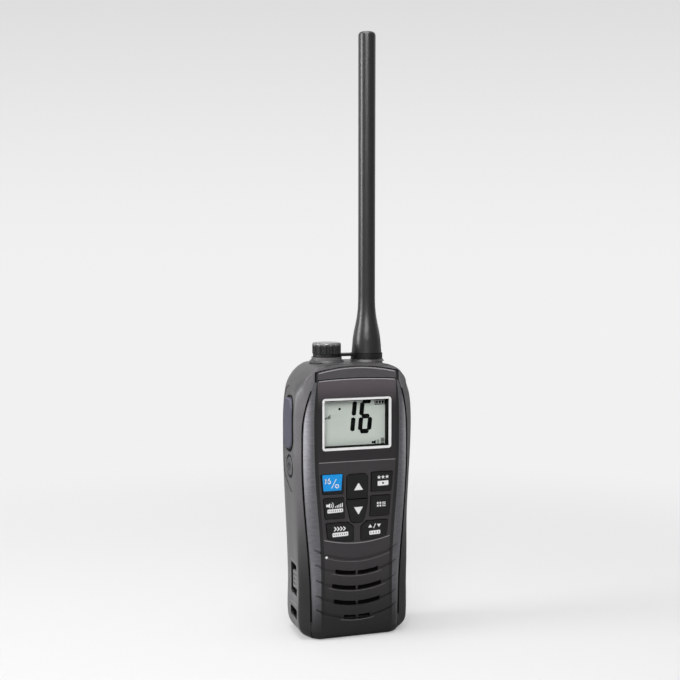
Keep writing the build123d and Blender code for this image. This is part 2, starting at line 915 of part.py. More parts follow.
def seal_edge(inset):
    """Front view of the seal's edge, a distance inside the cover's outline."""
    low, high = inset, cover_top - cover_sag - inset
    rise = [low, *cover_levels[1:], grip_widest, *neck_levels, grip_top, high]
    with BuildSketch(Plane.XZ.offset(-cover_foot)) as edge:
        with BuildLine():
            right = [(cover_half(z) - inset, z) for z in rise[:-1]]
            Spline(right)
            Polyline(right[-1], (right[-1][0] - inset, high), (0, high))
            Line((0, low), right[0])
            mirror(about=Plane.YZ)
        make_face()
    return edge.sketch


with BuildPart() as seal_ring:
    extrude(seal_edge(seal_inset), amount=-seal_depth)
    extrude(seal_edge(seal_inset + seal_width), amount=-seal_depth, mode=Mode.SUBTRACT)

pin_places = [(step * terminal_pitch, terminal_height) for step in (-1, 0, 1)]
case_bosses = (
    (upper_places, upper_boss_reach + seat_gap),
    (lower_places, lower_boss_reach + seat_gap),
)
with BuildPart() as hollow:
    add(inner_form)
    add(bay_form(bay_wall), mode=Mode.SUBTRACT)
    for side in (-1, 1):
        block_middle = latch_surface - latch_block_depth + latch_block[0] / 2
        with Locations((side * block_middle, *latch_block_centre)):
            Box(*latch_block, mode=Mode.SUBTRACT)
    for places, low in case_bosses:
        with BuildSketch(Plane.XZ.offset(-low)):
            with Locations(*places):
                Circle(case_boss_diameter / 2)
        extrude(amount=-back_reach, mode=Mode.SUBTRACT)
    for centre in (cap_centre, antenna_centre):
        with BuildSketch(Plane.XY.offset(body_height - pedestal_root)):
            with Locations(centre):
                Circle(pedestal_diameter / 2)
        extrude(amount=pedestal_root, mode=Mode.SUBTRACT)

with BuildPart() as main_case:
    add(outer_form)
    for centre in (cap_centre, antenna_centre):
        with BuildSketch(Plane.XY.offset(body_height - pedestal_root)):
            with Locations(centre):
                Circle(pedestal_diameter / 2)
        extrude(amount=pedestal_root + pedestal_height)
        with Locations((*centre, body_height)):
            Cone(
                pedestal_foot_diameter / 2,
                pedestal_diameter / 2,
                pedestal_height,
                align=(Align.CENTER, Align.CENTER, Align.MIN),
            )
    with BuildSketch(Plane.XY.offset(pedestal_top)):
        with Locations(cap_centre):
            Circle(band_diameter / 2)
    extrude(amount=band_height)
    add(hollow.part, mode=Mode.SUBTRACT)
    extrude(cover_outline(seam_gap), amount=-(cover_depth + key_proud + seat_gap), mode=Mode.SUBTRACT)
    add(bay_form(0.0), mode=Mode.SUBTRACT)
    add(latch_pockets.part, mode=Mode.SUBTRACT)
    add(side_panels.part, mode=Mode.SUBTRACT)
    add(seal_ring.part, mode=Mode.SUBTRACT)
    ptt_hole = side_plug(ptt_centre, ptt_size, ptt_corner, ptt_gap)
    power_hole = side_plug(power_centre, power_size, power_corner, power_gap)
    for hole in (ptt_hole, power_hole):
        extrude(hole, amount=-2 * chest_half_width, mode=Mode.SUBTRACT)
    for places, face in ((upper_places, back_reach), (lower_places, bay_floor)):
        with BuildSketch(Plane.XZ.offset(-face)):
            with Locations(*places):
                Circle(screw_head_diameter / 2 + loose_fit)
        extrude(amount=screw_head_height + loose_fit, mode=Mode.SUBTRACT)
        with BuildSketch(Plane.XZ.offset(-face)):
            with Locations(*places):
                Circle(screw_diameter / 2 + running_fit)
        extrude(amount=back_reach, mode=Mode.SUBTRACT)
    with BuildSketch(Plane.XY.offset(band_top)):
        with Locations(cap_centre):
            Circle(socket_diameter / 2 + running_fit)
    extrude(amount=-socket_root, mode=Mode.SUBTRACT)
    with BuildSketch(Plane.XY.offset(pedestal_top)):
        with Locations(antenna_centre):
            Circle(bush_diameter / 2 + running_fit)
    extrude(amount=-socket_root, mode=Mode.SUBTRACT)
    with BuildSketch(Plane.XZ.offset(-bay_floor)):
        with Locations(*pin_places):
            Circle(pin_diameter / 2 + running_fit)
    extrude(amount=2 * bay_wall, mode=Mode.SUBTRACT)
    with BuildSketch(Plane.XZ.offset(-back_reach)):
        with Locations(*[(side * clip_spacing / 2, clip_height) for side in (-1, 1)]):
            Circle(clip_hole_diameter / 2)
    extrude(amount=clip_hole_depth, mode=Mode.SUBTRACT)
save("main_case", main_case.part)

save("case_seal", seal_ring.part)

with BuildPart() as case_screws:
    for places, face, tip in (
        (upper_places, back_reach, upper_boss_reach),
        (lower_places, bay_floor, lower_boss_reach),
    ):
        seat = face - screw_head_height
        with BuildSketch(Plane.XZ.offset(-seat)):
            with Locations(*places):
                Circle(screw_head_diameter / 2)
        extrude(amount=-(screw_head_height - loose_fit))
        with BuildSketch(Plane.XZ.offset(-seat)):
            with Locations(*places):
                Circle(screw_diameter / 2)
        extrude(amount=seat - tip + screw_grip)
        with BuildSketch(Plane.XZ.offset(-face + loose_fit)):
            with Locations(*places):
                Rectangle(screw_slot_length, screw_slot_width)
                Rectangle(screw_slot_width, screw_slot_length)
        extrude(amount=screw_head_height / 2, mode=Mode.SUBTRACT)
save("case_screws", case_screws.part)

with BuildPart() as contact_pins:
    with BuildSketch(Plane.XZ.offset(-board_back)):
        with Locations(*pin_places):
            Circle(pin_diameter / 2)
    extrude(amount=-(bay_floor + stack_gap - board_back))
save("contact_pins", contact_pins.part)

# --------------------------------------------------------------- side buttons
flange_outside = chest_half_width - front_wall - flange_setback
flange_inside = flange_outside - button_flange
board_outside = flange_inside - ptt_travel - wall_clearance - tact_height


def side_button(centre, size, corner, proud):
    """A push pad on the left side, with a flange that keeps it in the case."""
    surface = chest_half_width + proud
    with BuildPart() as button:
        with BuildSketch(Plane.YZ.offset(-flange_inside)):
            with Locations(centre):
                RectangleRounded(*size, corner)
        extrude(amount=-(surface - flange_inside))
        fillet(button.faces().sort_by(Axis.X)[0].edges(), 3 * button_edge)
        with BuildSketch(Plane.YZ.offset(-flange_inside)):
            with Locations(centre):
                grow = 2 * button_flange_lip
                RectangleRounded(size[0] + grow, size[1] + grow, corner)
        extrude(amount=-button_flange)
    return button.part


save("ptt_button", side_button(ptt_centre, ptt_size, ptt_corner, ptt_proud))
save("power_button", side_button(power_centre, power_size, power_corner, -power_sink))

with BuildPart() as side_switch_board:
    with BuildSketch(Plane.YZ.offset(-board_outside)):
        with Locations((ptt_centre[0] - switch_board_shift, (ptt_centre[1] + power_centre[1]) / 2)):
            Rectangle(*switch_board_size)
    extrude(amount=switch_board_thickness)
save("side_switch_board", side_switch_board.part)

with BuildPart() as tact_switches:
    with BuildSketch(Plane.YZ.offset(-board_outside)):
        with Locations(ptt_centre, power_centre):
            Rectangle(dome_diameter, dome_diameter)
    extrude(amount=-tact_height)
save("tact_switches", tact_switches.part)

# -------------------------------------------------------------------- latches
with BuildPart() as right_latch:
    with BuildSketch(Plane.YZ.offset(pocket_floor + loose_fit)):
        with Locations((latch_centre[0], latch_centre[1] + latch_rest)):
            Rectangle(latch_window[0] + 2 * (latch_groove - loose_fit), latch_knob[1])
    extrude(amount=groove_ceiling - pocket_floor - 2 * loose_fit)
    with BuildSketch(Plane.YZ.offset(pocket_floor + loose_fit)):
        with Locations((latch_centre[0], latch_centre[1] + latch_rest)):
            RectangleRounded(latch_knob[0], latch_knob[1], latch_corner)
    extrude(amount=latch_depth - 2 * loose_fit - latch_sink)
    for step in (-1, 0, 1):
        with BuildSketch(Plane.YZ.offset(latch_surface - latch_sink - loose_fit)):
            with Locations((latch_centre[0], latch_centre[1] + latch_rest + step * latch_rib_pitch)):
                Rectangle(latch_knob[0] - 2 * latch_corner, latch_rib_width)
        extrude(amount=-latch_rib_depth, mode=Mode.SUBTRACT)
save("right_latch", right_latch.part)
save("left_latch", mirror(right_latch.part, Plane.YZ))

# -------------------------------------------------------------------- battery
pack_half = bay_half - pack_clearance
pack_foot = bay_foot + pack_clearance
pack_top = bay_top - pack_clearance
pack_front = bay_floor + pack_clearance
pack_back = back_reach
pack_middle = (pack_foot + pack_top) / 2
cell_front = pack_front + pack_wall + cell_gap
cell_depth = pack_back - pack_wall - cell_gap - cell_front - cell_gap
room_height = pack_top - pack_foot - 2 * pack_wall

with BuildPart() as battery_shell:
    add(bay_form(-pack_clearance))
    add(outer_form, mode=Mode.INTERSECT)
    with Locations((0, (cell_front + pack_back - pack_wall) / 2 - cell_gap, pack_middle)):
        Box(2 * (pack_half - 2 * pack_wall), cell_depth + 2 * cell_gap, room_height, mode=Mode.SUBTRACT)
    with BuildSketch(Plane.XZ.offset(-pack_front)):
        with Locations(*pin_places):
            Rectangle(*terminal_size)
    extrude(amount=-terminal_thickness, mode=Mode.SUBTRACT)
    with BuildSketch(Plane.XZ.offset(-pack_front)) as seal_groove:
        with Locations((0, terminal_height)):
            inside = [length - 2 * seal_width for length in terminal_seal_size]
            RectangleRounded(*terminal_seal_size, key_corner + seal_width)
            RectangleRounded(*inside, key_corner, mode=Mode.SUBTRACT)
    extrude(amount=-seal_depth, mode=Mode.SUBTRACT)
    for side in (-1, 1):
        for step in range(pack_ribs):
            with BuildSketch(Plane.XZ.offset(-back_reach - overrun)):
                with Locations((side * pack_rib_reach, pack_rib_foot + step * pack_rib_pitch)):
                    SlotOverall(pack_rib_length, pack_rib_width)
            extrude(amount=overrun + pack_rib_depth, mode=Mode.SUBTRACT)
save("battery_shell", battery_shell.part)

with BuildPart() as battery_cells:
    cell_height = (room_height - (cell_count + 1) * cell_gap) / cell_count
    for step in range(cell_count):
        middle = pack_foot + pack_wall + cell_gap + cell_height / 2 + step * (cell_height + cell_gap)
        with Locations((0, cell_front + cell_depth / 2 - cell_gap, middle)):
            Box(2 * (pack_half - 2 * pack_wall - cell_gap), cell_depth, cell_height)
save("battery_cells", battery_cells.part)

with BuildPart() as battery_terminals:
    with BuildSketch(Plane.XZ.offset(-pack_front)):
        with Locations(*pin_places):
            Rectangle(*terminal_size)
    extrude(amount=-terminal_thickness)
save("battery_terminals", battery_terminals.part)

with BuildPart() as battery_seal:
    extrude(seal_groove.sketch, amount=-seal_depth)
    extrude(seal_groove.sketch, amount=pack_clearance / 2)
save("battery_seal", battery_seal.part)

# ------------------------------------------------------ jack, cap and antenna
with BuildPart() as jack_socket:
    with BuildSketch(Plane.XY.offset(band_top - socket_root)):
        with Locations(cap_centre):
            Circle(socket_diameter / 2)
            Circle(jack_bore / 2, mode=Mode.SUBTRACT)
    extrude(amount=socket_root + socket_height)
save("jack_socket", jack_socket.part)

ring_foot = band_top + stack_gap
ring_top = ring_foot + ring_thickness
skirt_foot = ring_foot
crown_foot = ring_top + loose_fit
crown_top = crown_foot + cap_height
bore_top = band_top + socket_height + gasket_height + 2 * stack_gap
with BuildPart() as jack_cap:
    with BuildSketch(Plane.XY.offset(skirt_foot)):
        with Locations(cap_centre):
            Circle(skirt_diameter / 2)
    extrude(amount=crown_foot - skirt_foot)
    with BuildSketch(Plane.XY.offset(crown_foot)):
        with Locations(cap_centre):
            Circle(cap_diameter / 2)
            with PolarLocations(cap_diameter / 2 + cap_flute_diameter / 6, cap_flutes):
                Circle(cap_flute_diameter / 2, mode=Mode.SUBTRACT)
    extrude(amount=cap_height - cap_lid)
    with BuildSketch(Plane.XY.offset(crown_top - cap_lid)):
        with Locations(cap_centre):
            Circle(cap_diameter / 2)
    extrude(amount=cap_lid)
    fillet(jack_cap.faces().sort_by(Axis.Z)[-1].edges(), cap_edge)
    with BuildSketch(Plane.XY.offset(skirt_foot)):
        with Locations(cap_centre):
            Circle(socket_diameter / 2 + running_fit)
    extrude(amount=bore_top - skirt_foot, mode=Mode.SUBTRACT)
save("jack_cap", jack_cap.part)

with BuildPart() as cap_gasket:
    with BuildSketch(Plane.XY.offset(bore_top - stack_gap / 3)):
        with Locations(cap_centre):
            Circle(socket_diameter / 2 - loose_fit)
    extrude(amount=-gasket_height)
save("cap_gasket", cap_gasket.part)

with BuildPart() as cap_tether:
    with BuildSketch(Plane.XY.offset(ring_foot)):
        with Locations(cap_centre):
            Circle(ring_diameter / 2)
        with Locations(((cap_centre[0] + antenna_centre[0]) / 2, cap_centre[1])):
            Rectangle(antenna_centre[0] - cap_centre[0], strap_width)
        with Locations(antenna_centre):
            Circle(collar_diameter / 2)
        with Locations(cap_centre, antenna_centre):
            Circle(skirt_diameter / 2 + loose_fit, mode=Mode.SUBTRACT)
    extrude(amount=ring_thickness)
    with BuildSketch(Plane.XY.offset(pedestal_top + stack_gap)):
        with Locations(antenna_centre):
            Circle(collar_diameter / 2)
            Circle(skirt_diameter / 2 + loose_fit, mode=Mode.SUBTRACT)
    extrude(amount=ring_top - pedestal_top - stack_gap)
save("cap_tether", cap_tether.part)

with BuildPart() as antenna_socket:
    with BuildSketch(Plane.XY.offset(pedestal_top - bush_length)):
        with Locations(antenna_centre):
            Circle(bush_diameter / 2)
    extrude(amount=bush_length)
    with BuildSketch(Plane.XY.offset(pedestal_top)):
        with Locations(antenna_centre):
            Circle(stud_diameter / 2 + running_fit)
    extrude(amount=-(stud_length + loose_fit), mode=Mode.SUBTRACT)
save("antenna_socket", antenna_socket.part)

antenna_foot = ring_top + loose_fit
with BuildPart() as antenna_gasket:
    with BuildSketch(Plane.XY.offset(pedestal_top + stack_gap)):
        with Locations(antenna_centre):
            Circle(skirt_diameter / 2)
            Circle(stud_diameter / 2 + loose_fit, mode=Mode.SUBTRACT)
    extrude(amount=antenna_foot - pedestal_top - 2 * stack_gap)
save("antenna_gasket", antenna_gasket.part)

bell_top = antenna_foot + antenna_bell_height
flare_top = antenna_foot + antenna_flare_height
shaft_foot = antenna_foot + antenna_shaft_height
antenna_plane = Plane(origin=(*antenna_centre, 0), x_dir=(1, 0, 0), z_dir=(0, -1, 0))
with BuildPart() as antenna_sheath:
    with BuildSketch(antenna_plane):
        with BuildLine():
            Polyline((0, antenna_foot), (antenna_foot_diameter / 2, antenna_foot))
            Line(
                (antenna_foot_diameter / 2, antenna_foot),
                (antenna_bell_diameter / 2, bell_top),
            )
            Spline(
                (antenna_bell_diameter / 2, bell_top),
                (antenna_flare_diameter / 2, flare_top),
                (antenna_shaft_diameter / 2, shaft_foot),
                tangents=(antenna_bell_lean, (0.0, 1.0)),
            )
            Polyline(
                (antenna_shaft_diameter / 2, shaft_foot),
                (antenna_tip_diameter / 2, antenna_tip),
                (0, antenna_tip),
            )
            Line((0, antenna_tip), (0, antenna_foot))
        make_face()
    revolve(axis=Axis((*antenna_centre, 0), (0, 0, 1)))
    fillet(antenna_sheath.faces().sort_by(Axis.Z)[-1].edges(), antenna_tip_diameter / 2 - antenna_tip_flat)
    with BuildSketch(Plane.XY.offset(antenna_foot)):
        with Locations(antenna_centre):
            Circle(connector_diameter / 2)
    extrude(amount=connector_height, mode=Mode.SUBTRACT)
    with BuildSketch(Plane.XY.offset(antenna_foot)):
        with Locations(antenna_centre):
            Circle(core_diameter / 2)
    extrude(amount=core_height, mode=Mode.SUBTRACT)
save("antenna_sheath", antenna_sheath.part)

with BuildPart() as antenna_core:
    with BuildSketch(Plane.XY.offset(antenna_foot + connector_height)):
        with Locations(antenna_centre):
            Circle(core_diameter / 2)
    extrude(amount=core_height - connector_height)
save("antenna_core", antenna_core.part)

with BuildPart() as antenna_connector:
    with BuildSketch(Plane.XY.offset(antenna_foot)):
        with Locations(antenna_centre):
            Circle(connector_diameter / 2)
    extrude(amount=connector_height)
    with BuildSketch(Plane.XY.offset(antenna_foot)):
        with Locations(antenna_centre):
            Circle(stud_diameter / 2)
    extrude(amount=-(antenna_foot - pedestal_top + stud_length))
save("antenna_connector", antenna_connector.part)

print(f"{len(written)} pieces written")
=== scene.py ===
"""Looks of a handheld marine radio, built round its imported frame. Metres, +Z up, front along -Y."""
import math

import bpy
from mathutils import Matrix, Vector
from mathutils.bvhtree import BVHTree


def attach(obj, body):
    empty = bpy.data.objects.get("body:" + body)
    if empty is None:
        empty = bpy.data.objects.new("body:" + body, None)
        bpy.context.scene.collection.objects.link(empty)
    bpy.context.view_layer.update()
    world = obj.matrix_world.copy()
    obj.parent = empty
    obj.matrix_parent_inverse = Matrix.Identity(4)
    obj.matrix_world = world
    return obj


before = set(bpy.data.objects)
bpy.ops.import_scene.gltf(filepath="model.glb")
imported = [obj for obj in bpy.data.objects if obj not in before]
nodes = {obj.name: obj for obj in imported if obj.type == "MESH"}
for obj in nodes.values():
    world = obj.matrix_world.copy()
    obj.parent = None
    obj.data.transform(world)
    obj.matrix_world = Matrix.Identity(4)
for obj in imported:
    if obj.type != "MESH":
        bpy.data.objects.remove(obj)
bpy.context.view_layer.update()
scene = bpy.context.scene
MM = 0.001

# ------------------------------------------------------------------- camera
PICTURE_SIDE = 680
FOCAL_PIXELS = 1240.0
SENSOR = 36.0
CAMERA_DISTANCE = 0.595
CAMERA_HEIGHT = 0.183
CAMERA_SIDE_ANGLE = 19.5
CAMERA_PITCH = 4.0
CAMERA_YAW = 19.209

camera_data = bpy.data.cameras.new("camera")
camera_data.sensor_width = SENSOR
camera_data.lens = FOCAL_PIXELS / PICTURE_SIDE * SENSOR
camera_data.clip_start = 0.05
camera_data.clip_end = 20
camera = bpy.data.objects.new("camera", camera_data)
scene.collection.objects.link(camera)
side = math.radians(CAMERA_SIDE_ANGLE)
camera.location = (-CAMERA_DISTANCE * math.sin(side), -CAMERA_DISTANCE * math.cos(side), CAMERA_HEIGHT)
camera.rotation_euler = (math.radians(90 - CAMERA_PITCH), 0, -math.radians(CAMERA_YAW))
scene.camera = camera
scene.view_settings.view_transform = "Standard"


# ---------------------------------------------------------------- materials
def linear(red, green, blue):
    """A colour on the 0 to 255 display scale, as the shader takes it."""
    out = []
    for value in (red, green, blue):
        share = value / 255
        out.append(share / 12.92 if share <= 0.04045 else ((share + 0.055) / 1.055) ** 2.4)
    return (*out, 1.0)


RANGE_SOCKETS = ("From Min", "From Max", "To Min", "To Max")
MIX_COLOURS, MIX_RESULT = (6, 7), 2
WEAR_DETAIL, WEAR_ROUGHNESS = 3.0, 0.6
WEAR_LOW, WEAR_HIGH = 0.3, 0.7
ROUGH_SPREAD = 0.05


class Nodes:
    """A short way to build a material's node tree."""

    def __init__(self, name):
        self.material = bpy.data.materials.new(name)
        self.material.use_nodes = True
        self.tree = self.material.node_tree
        self.shader = self.tree.nodes["Principled BSDF"]
        self.place = self.add("ShaderNodeTexCoord").outputs["Object"]

    def add(self, kind, **values):
        """A new node with some of its settings."""
        node = self.tree.nodes.new(kind)
        for key, value in values.items():
            setattr(node, key, value)
        return node

    def link(self, source, target):
        """Join an output to an input."""
        self.tree.links.new(source, target)

    def feed(self, socket, value):
        """Set an input to a number or colour, or join a node's output to it."""
        if isinstance(value, (int, float, tuple)):
            socket.default_value = value
        else:
            self.link(value, socket)

    def math(self, operation, *values):
        """A sum on one or two numbers or outputs."""
        node = self.add("ShaderNodeMath", operation=operation)
        for socket, value in zip(node.inputs, values):
            self.feed(socket, value)
        return node.outputs[0]

    def share(self, first, part, second):
        """Two values added up, the first with a part and the second with the rest of 1."""
        return self.math("ADD", self.math("MULTIPLY", first, part), self.math("MULTIPLY", second, 1 - part))

    def stretched(self, scale):
        """The place on the object, scaled differently along each axis."""
        node = self.add("ShaderNodeMapping")
        self.link(self.place, node.inputs["Vector"])
        node.inputs["Scale"].default_value = scale
        return node.outputs["Vector"]

    def axes(self):
        """The place on the object in metres, as X, Y and Z."""
        node = self.add("ShaderNodeSeparateXYZ")
        self.link(self.place, node.inputs[0])
        return node.outputs

    def facing(self):
        """The way the surface faces on the object, as X, Y and Z."""
        node = self.add("ShaderNodeSeparateXYZ")
        self.link(self.add("ShaderNodeTexCoord").outputs["Normal"], node.inputs[0])
        return node.outputs

    def noise(self, scale, detail=2.0, roughness=0.5, vector=None):
        """Soft noise over the object, or over another vector."""
        node = self.add("ShaderNodeTexNoise")
        self.link(vector or self.place, node.inputs["Vector"])
        node.inputs["Scale"].default_value = scale
        node.inputs["Detail"].default_value = detail
        node.inputs["Roughness"].default_value = roughness
        return node.outputs["Fac"]

    def ramp(self, value, low, high, out_low=0.0, out_high=1.0):
        """A value eased from one range to another."""
        node = self.add("ShaderNodeMapRange", interpolation_type="SMOOTHSTEP")
        self.link(value, node.inputs["Value"])
        for key, number in zip(RANGE_SOCKETS, (low, high, out_low, out_high)):
            node.inputs[key].default_value = number
        return node.outputs["Result"]

    def mix(self, factor, first, second, blend="MIX"):
        """Two colours mixed, each a colour or a node's output."""
        node = self.add("ShaderNodeMix", data_type="RGBA", blend_type=blend)
        self.feed(node.inputs["Factor"], factor)
        for index, value in zip(MIX_COLOURS, (first, second)):
            self.feed(node.inputs[index], value)
        return node.outputs[MIX_RESULT]

    def colour(self, value):
        """Feed the shader's colour."""
        self.link(value, self.shader.inputs["Base Color"])

    def rough(self, value):
        """Feed the shader's roughness."""
        self.link(value, self.shader.inputs["Roughness"])

    def wear(self, scale):
        """Patches of wear over the object."""
        return self.noise(scale, WEAR_DETAIL, WEAR_ROUGHNESS)

    def worn_rough(self, patches, middle):
        """Feed the shader a roughness that follows the patches of wear."""
        self.rough(self.ramp(patches, WEAR_LOW, WEAR_HIGH, middle - ROUGH_SPREAD, middle + ROUGH_SPREAD))

    def bump(self, height, distance):
        """Raise the shader's surface by a height, over a distance in metres."""
        node = self.add("ShaderNodeBump")
        node.inputs["Distance"].default_value = distance
        self.link(height, node.inputs["Height"])
        self.link(node.outputs["Normal"], self.shader.inputs["Normal"])


ETCHED_GRAIN = 2600.0
GRAIN_DEPTH = 0.00003
PATCHES = 60.0
PATCH_SHARE = 0.6


def plastic(
    name, tone, rough, spread=5, grain=ETCHED_GRAIN, grain_depth=GRAIN_DEPTH, patch=PATCHES, specular=0.5
):
    """Moulded plastic with a fine etched grain and slight patches of wear."""
    m = Nodes(name)
    low = linear(*(max(value - spread, 0) for value in tone))
    high = linear(*(min(value + spread, 255) for value in tone))
    patches = m.wear(patch)
    speckle = m.noise(grain)
    m.colour(m.mix(m.share(patches, PATCH_SHARE, speckle), low, high))
    m.worn_rough(patches, rough)
    m.shader.inputs["Specular IOR Level"].default_value = specular
    m.bump(speckle, grain_depth)
    return m


DRAWN_LINES = 900.0
DRAWN_DEPTH = 0.00001


def metal(name, tone, rough):
    """Plated metal with fine drawn lines."""
    m = Nodes(name)
    lines = m.noise(DRAWN_LINES, vector=m.stretched((1.0, 1.0, 0.1)))
    m.colour(m.mix(lines, linear(*(value - 8 for value in tone)), linear(*tone)))
    m.rough(m.ramp(lines, WEAR_LOW, WEAR_HIGH, rough - 0.06, rough + 0.08))
    m.shader.inputs["Metallic"].default_value = 1.0
    m.bump(lines, DRAWN_DEPTH)
    return m


def dress(name, material):
    """Give a node its material."""
    slots = nodes[name].data.materials
    slots.clear()
    slots.append(material.material)


def shaded_plastic(name, top, foot, levels, rough, spread=5):
    """Moulded plastic with painted shade: it grows darker towards the foot, between two levels in mm."""
    m = Nodes(name)
    place = m.axes()
    # Painted shade: the colour runs from the top tone down to the darker foot tone.
    rise = m.ramp(place["Z"], levels[0] * MM, levels[1] * MM)
    patches = m.wear(PATCHES)
    speckle = m.noise(ETCHED_GRAIN)
    low, high = (
        m.mix(rise, linear(*(value + change for value in foot)), linear(*(value + change for value in top)))
        for change in (-spread, spread)
    )
    m.colour(m.mix(m.share(patches, PATCH_SHARE, speckle), low, high))
    m.worn_rough(patches, rough)
    m.bump(speckle, GRAIN_DEPTH)
    return m


GRIP_PITCH = 0.0006
GRIP_WOBBLE = 0.0009
GRIP_DEPTH = 0.00007
# Heights over which the grip's painted highlight dims towards the waist and its painted shade at the foot
# fades.
GRIP_WAIST = (0.05, 0.1)
GRIP_FOOT_SHADE = (0.004, 0.03)


def grip_look():
    """Grip rubber with fine ribs across it, with a painted highlight on its outer edge and painted shade at
    the bezel and the foot.
    """
    m = Nodes("grip_plastic")
    # Painted highlight and shade: surfaces facing outward are coloured lighter, those facing the bezel
    # darker.
    outward = m.ramp(m.math("ABSOLUTE", m.facing()["X"]), 0.25, 0.75)
    place = m.axes()
    wobble = m.math("MULTIPLY", m.noise(160.0), GRIP_WOBBLE)
    height = m.math("ADD", place["Z"], wobble)
    ribs = m.math("SINE", m.math("MULTIPLY", height, 2 * math.pi / GRIP_PITCH))
    flecks = m.noise(1500.0, vector=m.stretched((0.25, 0.25, 1.0)))
    mark = m.share(m.ramp(ribs, -1.0, 1.0), 0.3, flecks)
    dark = m.mix(mark, linear(58, 57, 61), linear(112, 111, 116))
    bright = m.mix(mark, linear(128, 127, 133), linear(196, 195, 201))
    chest = m.mix(outward, dark, bright)
    # Lower down the painted highlight is dimmer.
    waist = m.mix(outward, dark, m.mix(mark, linear(76, 75, 80), linear(122, 121, 127)))
    body = m.mix(m.ramp(place["Z"], *GRIP_WAIST), waist, chest)
    # Painted shade at the foot.
    rise = m.ramp(place["Z"], *GRIP_FOOT_SHADE)
    m.colour(m.mix(rise, linear(24, 24, 25), body))
    m.shader.inputs["Roughness"].default_value = 0.42
    m.shader.inputs["Sheen Weight"].default_value = 0.25
    m.shader.inputs["Sheen Roughness"].default_value = 0.35
    m.bump(mark, GRIP_DEPTH)
    return m


# Where the painted shade inside the pockets lies, and the heights over which the painted tones of the
# flanks and front corner change.
POCKET_INNER, POCKET_MIDDLE, POCKET_HALF, POCKET_TOP = 0.0258, -0.0024, 0.0066, 0.0365
POCKET_EDGE = 0.0002
CASE_FOOT = (0.004, 0.062)
CORNER_FADE = (0.02, 0.1)


def case_look():
    """Moulded grey with painted light and shade: darker on top and down its front corner, a little lighter
    low on its flanks, and black inside the latch and finger pockets as painted shade.
    """
    m = Nodes("case_plastic")
    place = m.axes()
    facing = m.facing()
    # Painted light and shade: front-facing surfaces darker towards the foot, flanks a little lighter low
    # down, up-facing surfaces darker.
    front = m.ramp(m.math("MULTIPLY", facing["Y"], -1.0), 0.15, 0.6)
    rise = m.ramp(place["Z"], *CASE_FOOT)
    band = m.ramp(place["Z"], *CORNER_FADE)
    patches = m.wear(PATCHES)
    speckle = m.noise(ETCHED_GRAIN)
    shift = m.share(patches, 0.5, speckle)
    flank = m.mix(rise, linear(108, 107, 108), linear(100, 99, 100))
    corner = m.mix(band, linear(38, 37, 38), linear(112, 110, 112))
    upward = m.ramp(facing["Z"], 0.05, 0.5)
    tone = m.mix(upward, m.mix(front, flank, corner), linear(66, 65, 66))
    # Patches of wear and grain mottle the tone.
    light = m.mix(m.ramp(shift, 0.35, 0.65), linear(226, 226, 226), linear(255, 255, 255))
    shaded = m.mix(1.0, tone, light, "MULTIPLY")
    # Painted shade: black inside the latch and finger pockets.
    outer = m.ramp(m.math("ABSOLUTE", place["X"]), POCKET_INNER, POCKET_INNER + 2 * POCKET_EDGE)
    aside = m.math("ABSOLUTE", m.math("SUBTRACT", place["Y"], POCKET_MIDDLE))
    beside = m.ramp(aside, POCKET_HALF, POCKET_HALF + POCKET_EDGE)
    over = m.ramp(place["Z"], POCKET_TOP, POCKET_TOP + 1.5 * POCKET_EDGE)
    keep = m.math("MAXIMUM", outer, m.math("MAXIMUM", beside, over))
    m.colour(m.mix(keep, linear(8, 8, 8), shaded))
    m.worn_rough(patches, 0.38)
    m.bump(speckle, GRAIN_DEPTH)
    return m


BLUE_CENTRE = (-0.0125, 0.0756)
BLUE_HALF = (0.0047, 0.0039)
BLUE_LEAN = 0.08
BLUE_EDGE = 0.00015


def blue_key_look():
    """A blue key face inside a black border, wider towards its top."""
    m = Nodes("key_blue")
    place = m.axes()
    across = m.math("ABSOLUTE", m.math("SUBTRACT", place["X"], BLUE_CENTRE[0]))
    height = m.math("SUBTRACT", place["Z"], BLUE_CENTRE[1])
    half = m.math("ADD", m.math("MULTIPLY", height, BLUE_LEAN), BLUE_HALF[0])
    inside_x = m.ramp(m.math("SUBTRACT", half, across), -BLUE_EDGE, BLUE_EDGE)
    inside_z = m.ramp(m.math("SUBTRACT", BLUE_HALF[1], m.math("ABSOLUTE", height)), -BLUE_EDGE, BLUE_EDGE)
    inside = m.math("MULTIPLY", inside_x, inside_z)
    sheen = m.mix(m.noise(900.0), linear(14, 140, 226), linear(34, 164, 240))
    m.colour(m.mix(inside, linear(20, 22, 26), sheen))
    m.shader.inputs["Roughness"].default_value = 0.5
    m.shader.inputs["Specular IOR Level"].default_value = 0.3
    m.bump(m.noise(ETCHED_GRAIN), 0.00002)
    return m


# Heights of the painted highlight at the upper ends of the flutes.
CROWN_HIGHLIGHT = (0.1384, 0.1398)


def cap_look():
    """Glossy cap rubber, with a painted highlight on its lid and the upper ends of its flutes."""
    m = Nodes("cap_rubber")
    # Painted highlight: the upper ends of the flutes and the up-facing lid are coloured lighter.
    crown_highlight = m.math("MULTIPLY", m.ramp(m.axes()["Z"], *CROWN_HIGHLIGHT), 0.9)
    upward = m.ramp(m.facing()["Z"], 0.1, 0.75)
    speckle = m.noise(2200.0)
    walls = m.mix(speckle, linear(32, 32, 33), linear(46, 46, 47))
    sides = m.mix(crown_highlight, walls, linear(150, 150, 151))
    top = m.mix(speckle, linear(70, 70, 71), linear(88, 88, 89))
    m.colour(m.mix(upward, sides, top))
    m.shader.inputs["Roughness"].default_value = 0.16
    m.shader.inputs["Specular IOR Level"].default_value = 1.0
    m.bump(speckle, 0.00001)
    return m


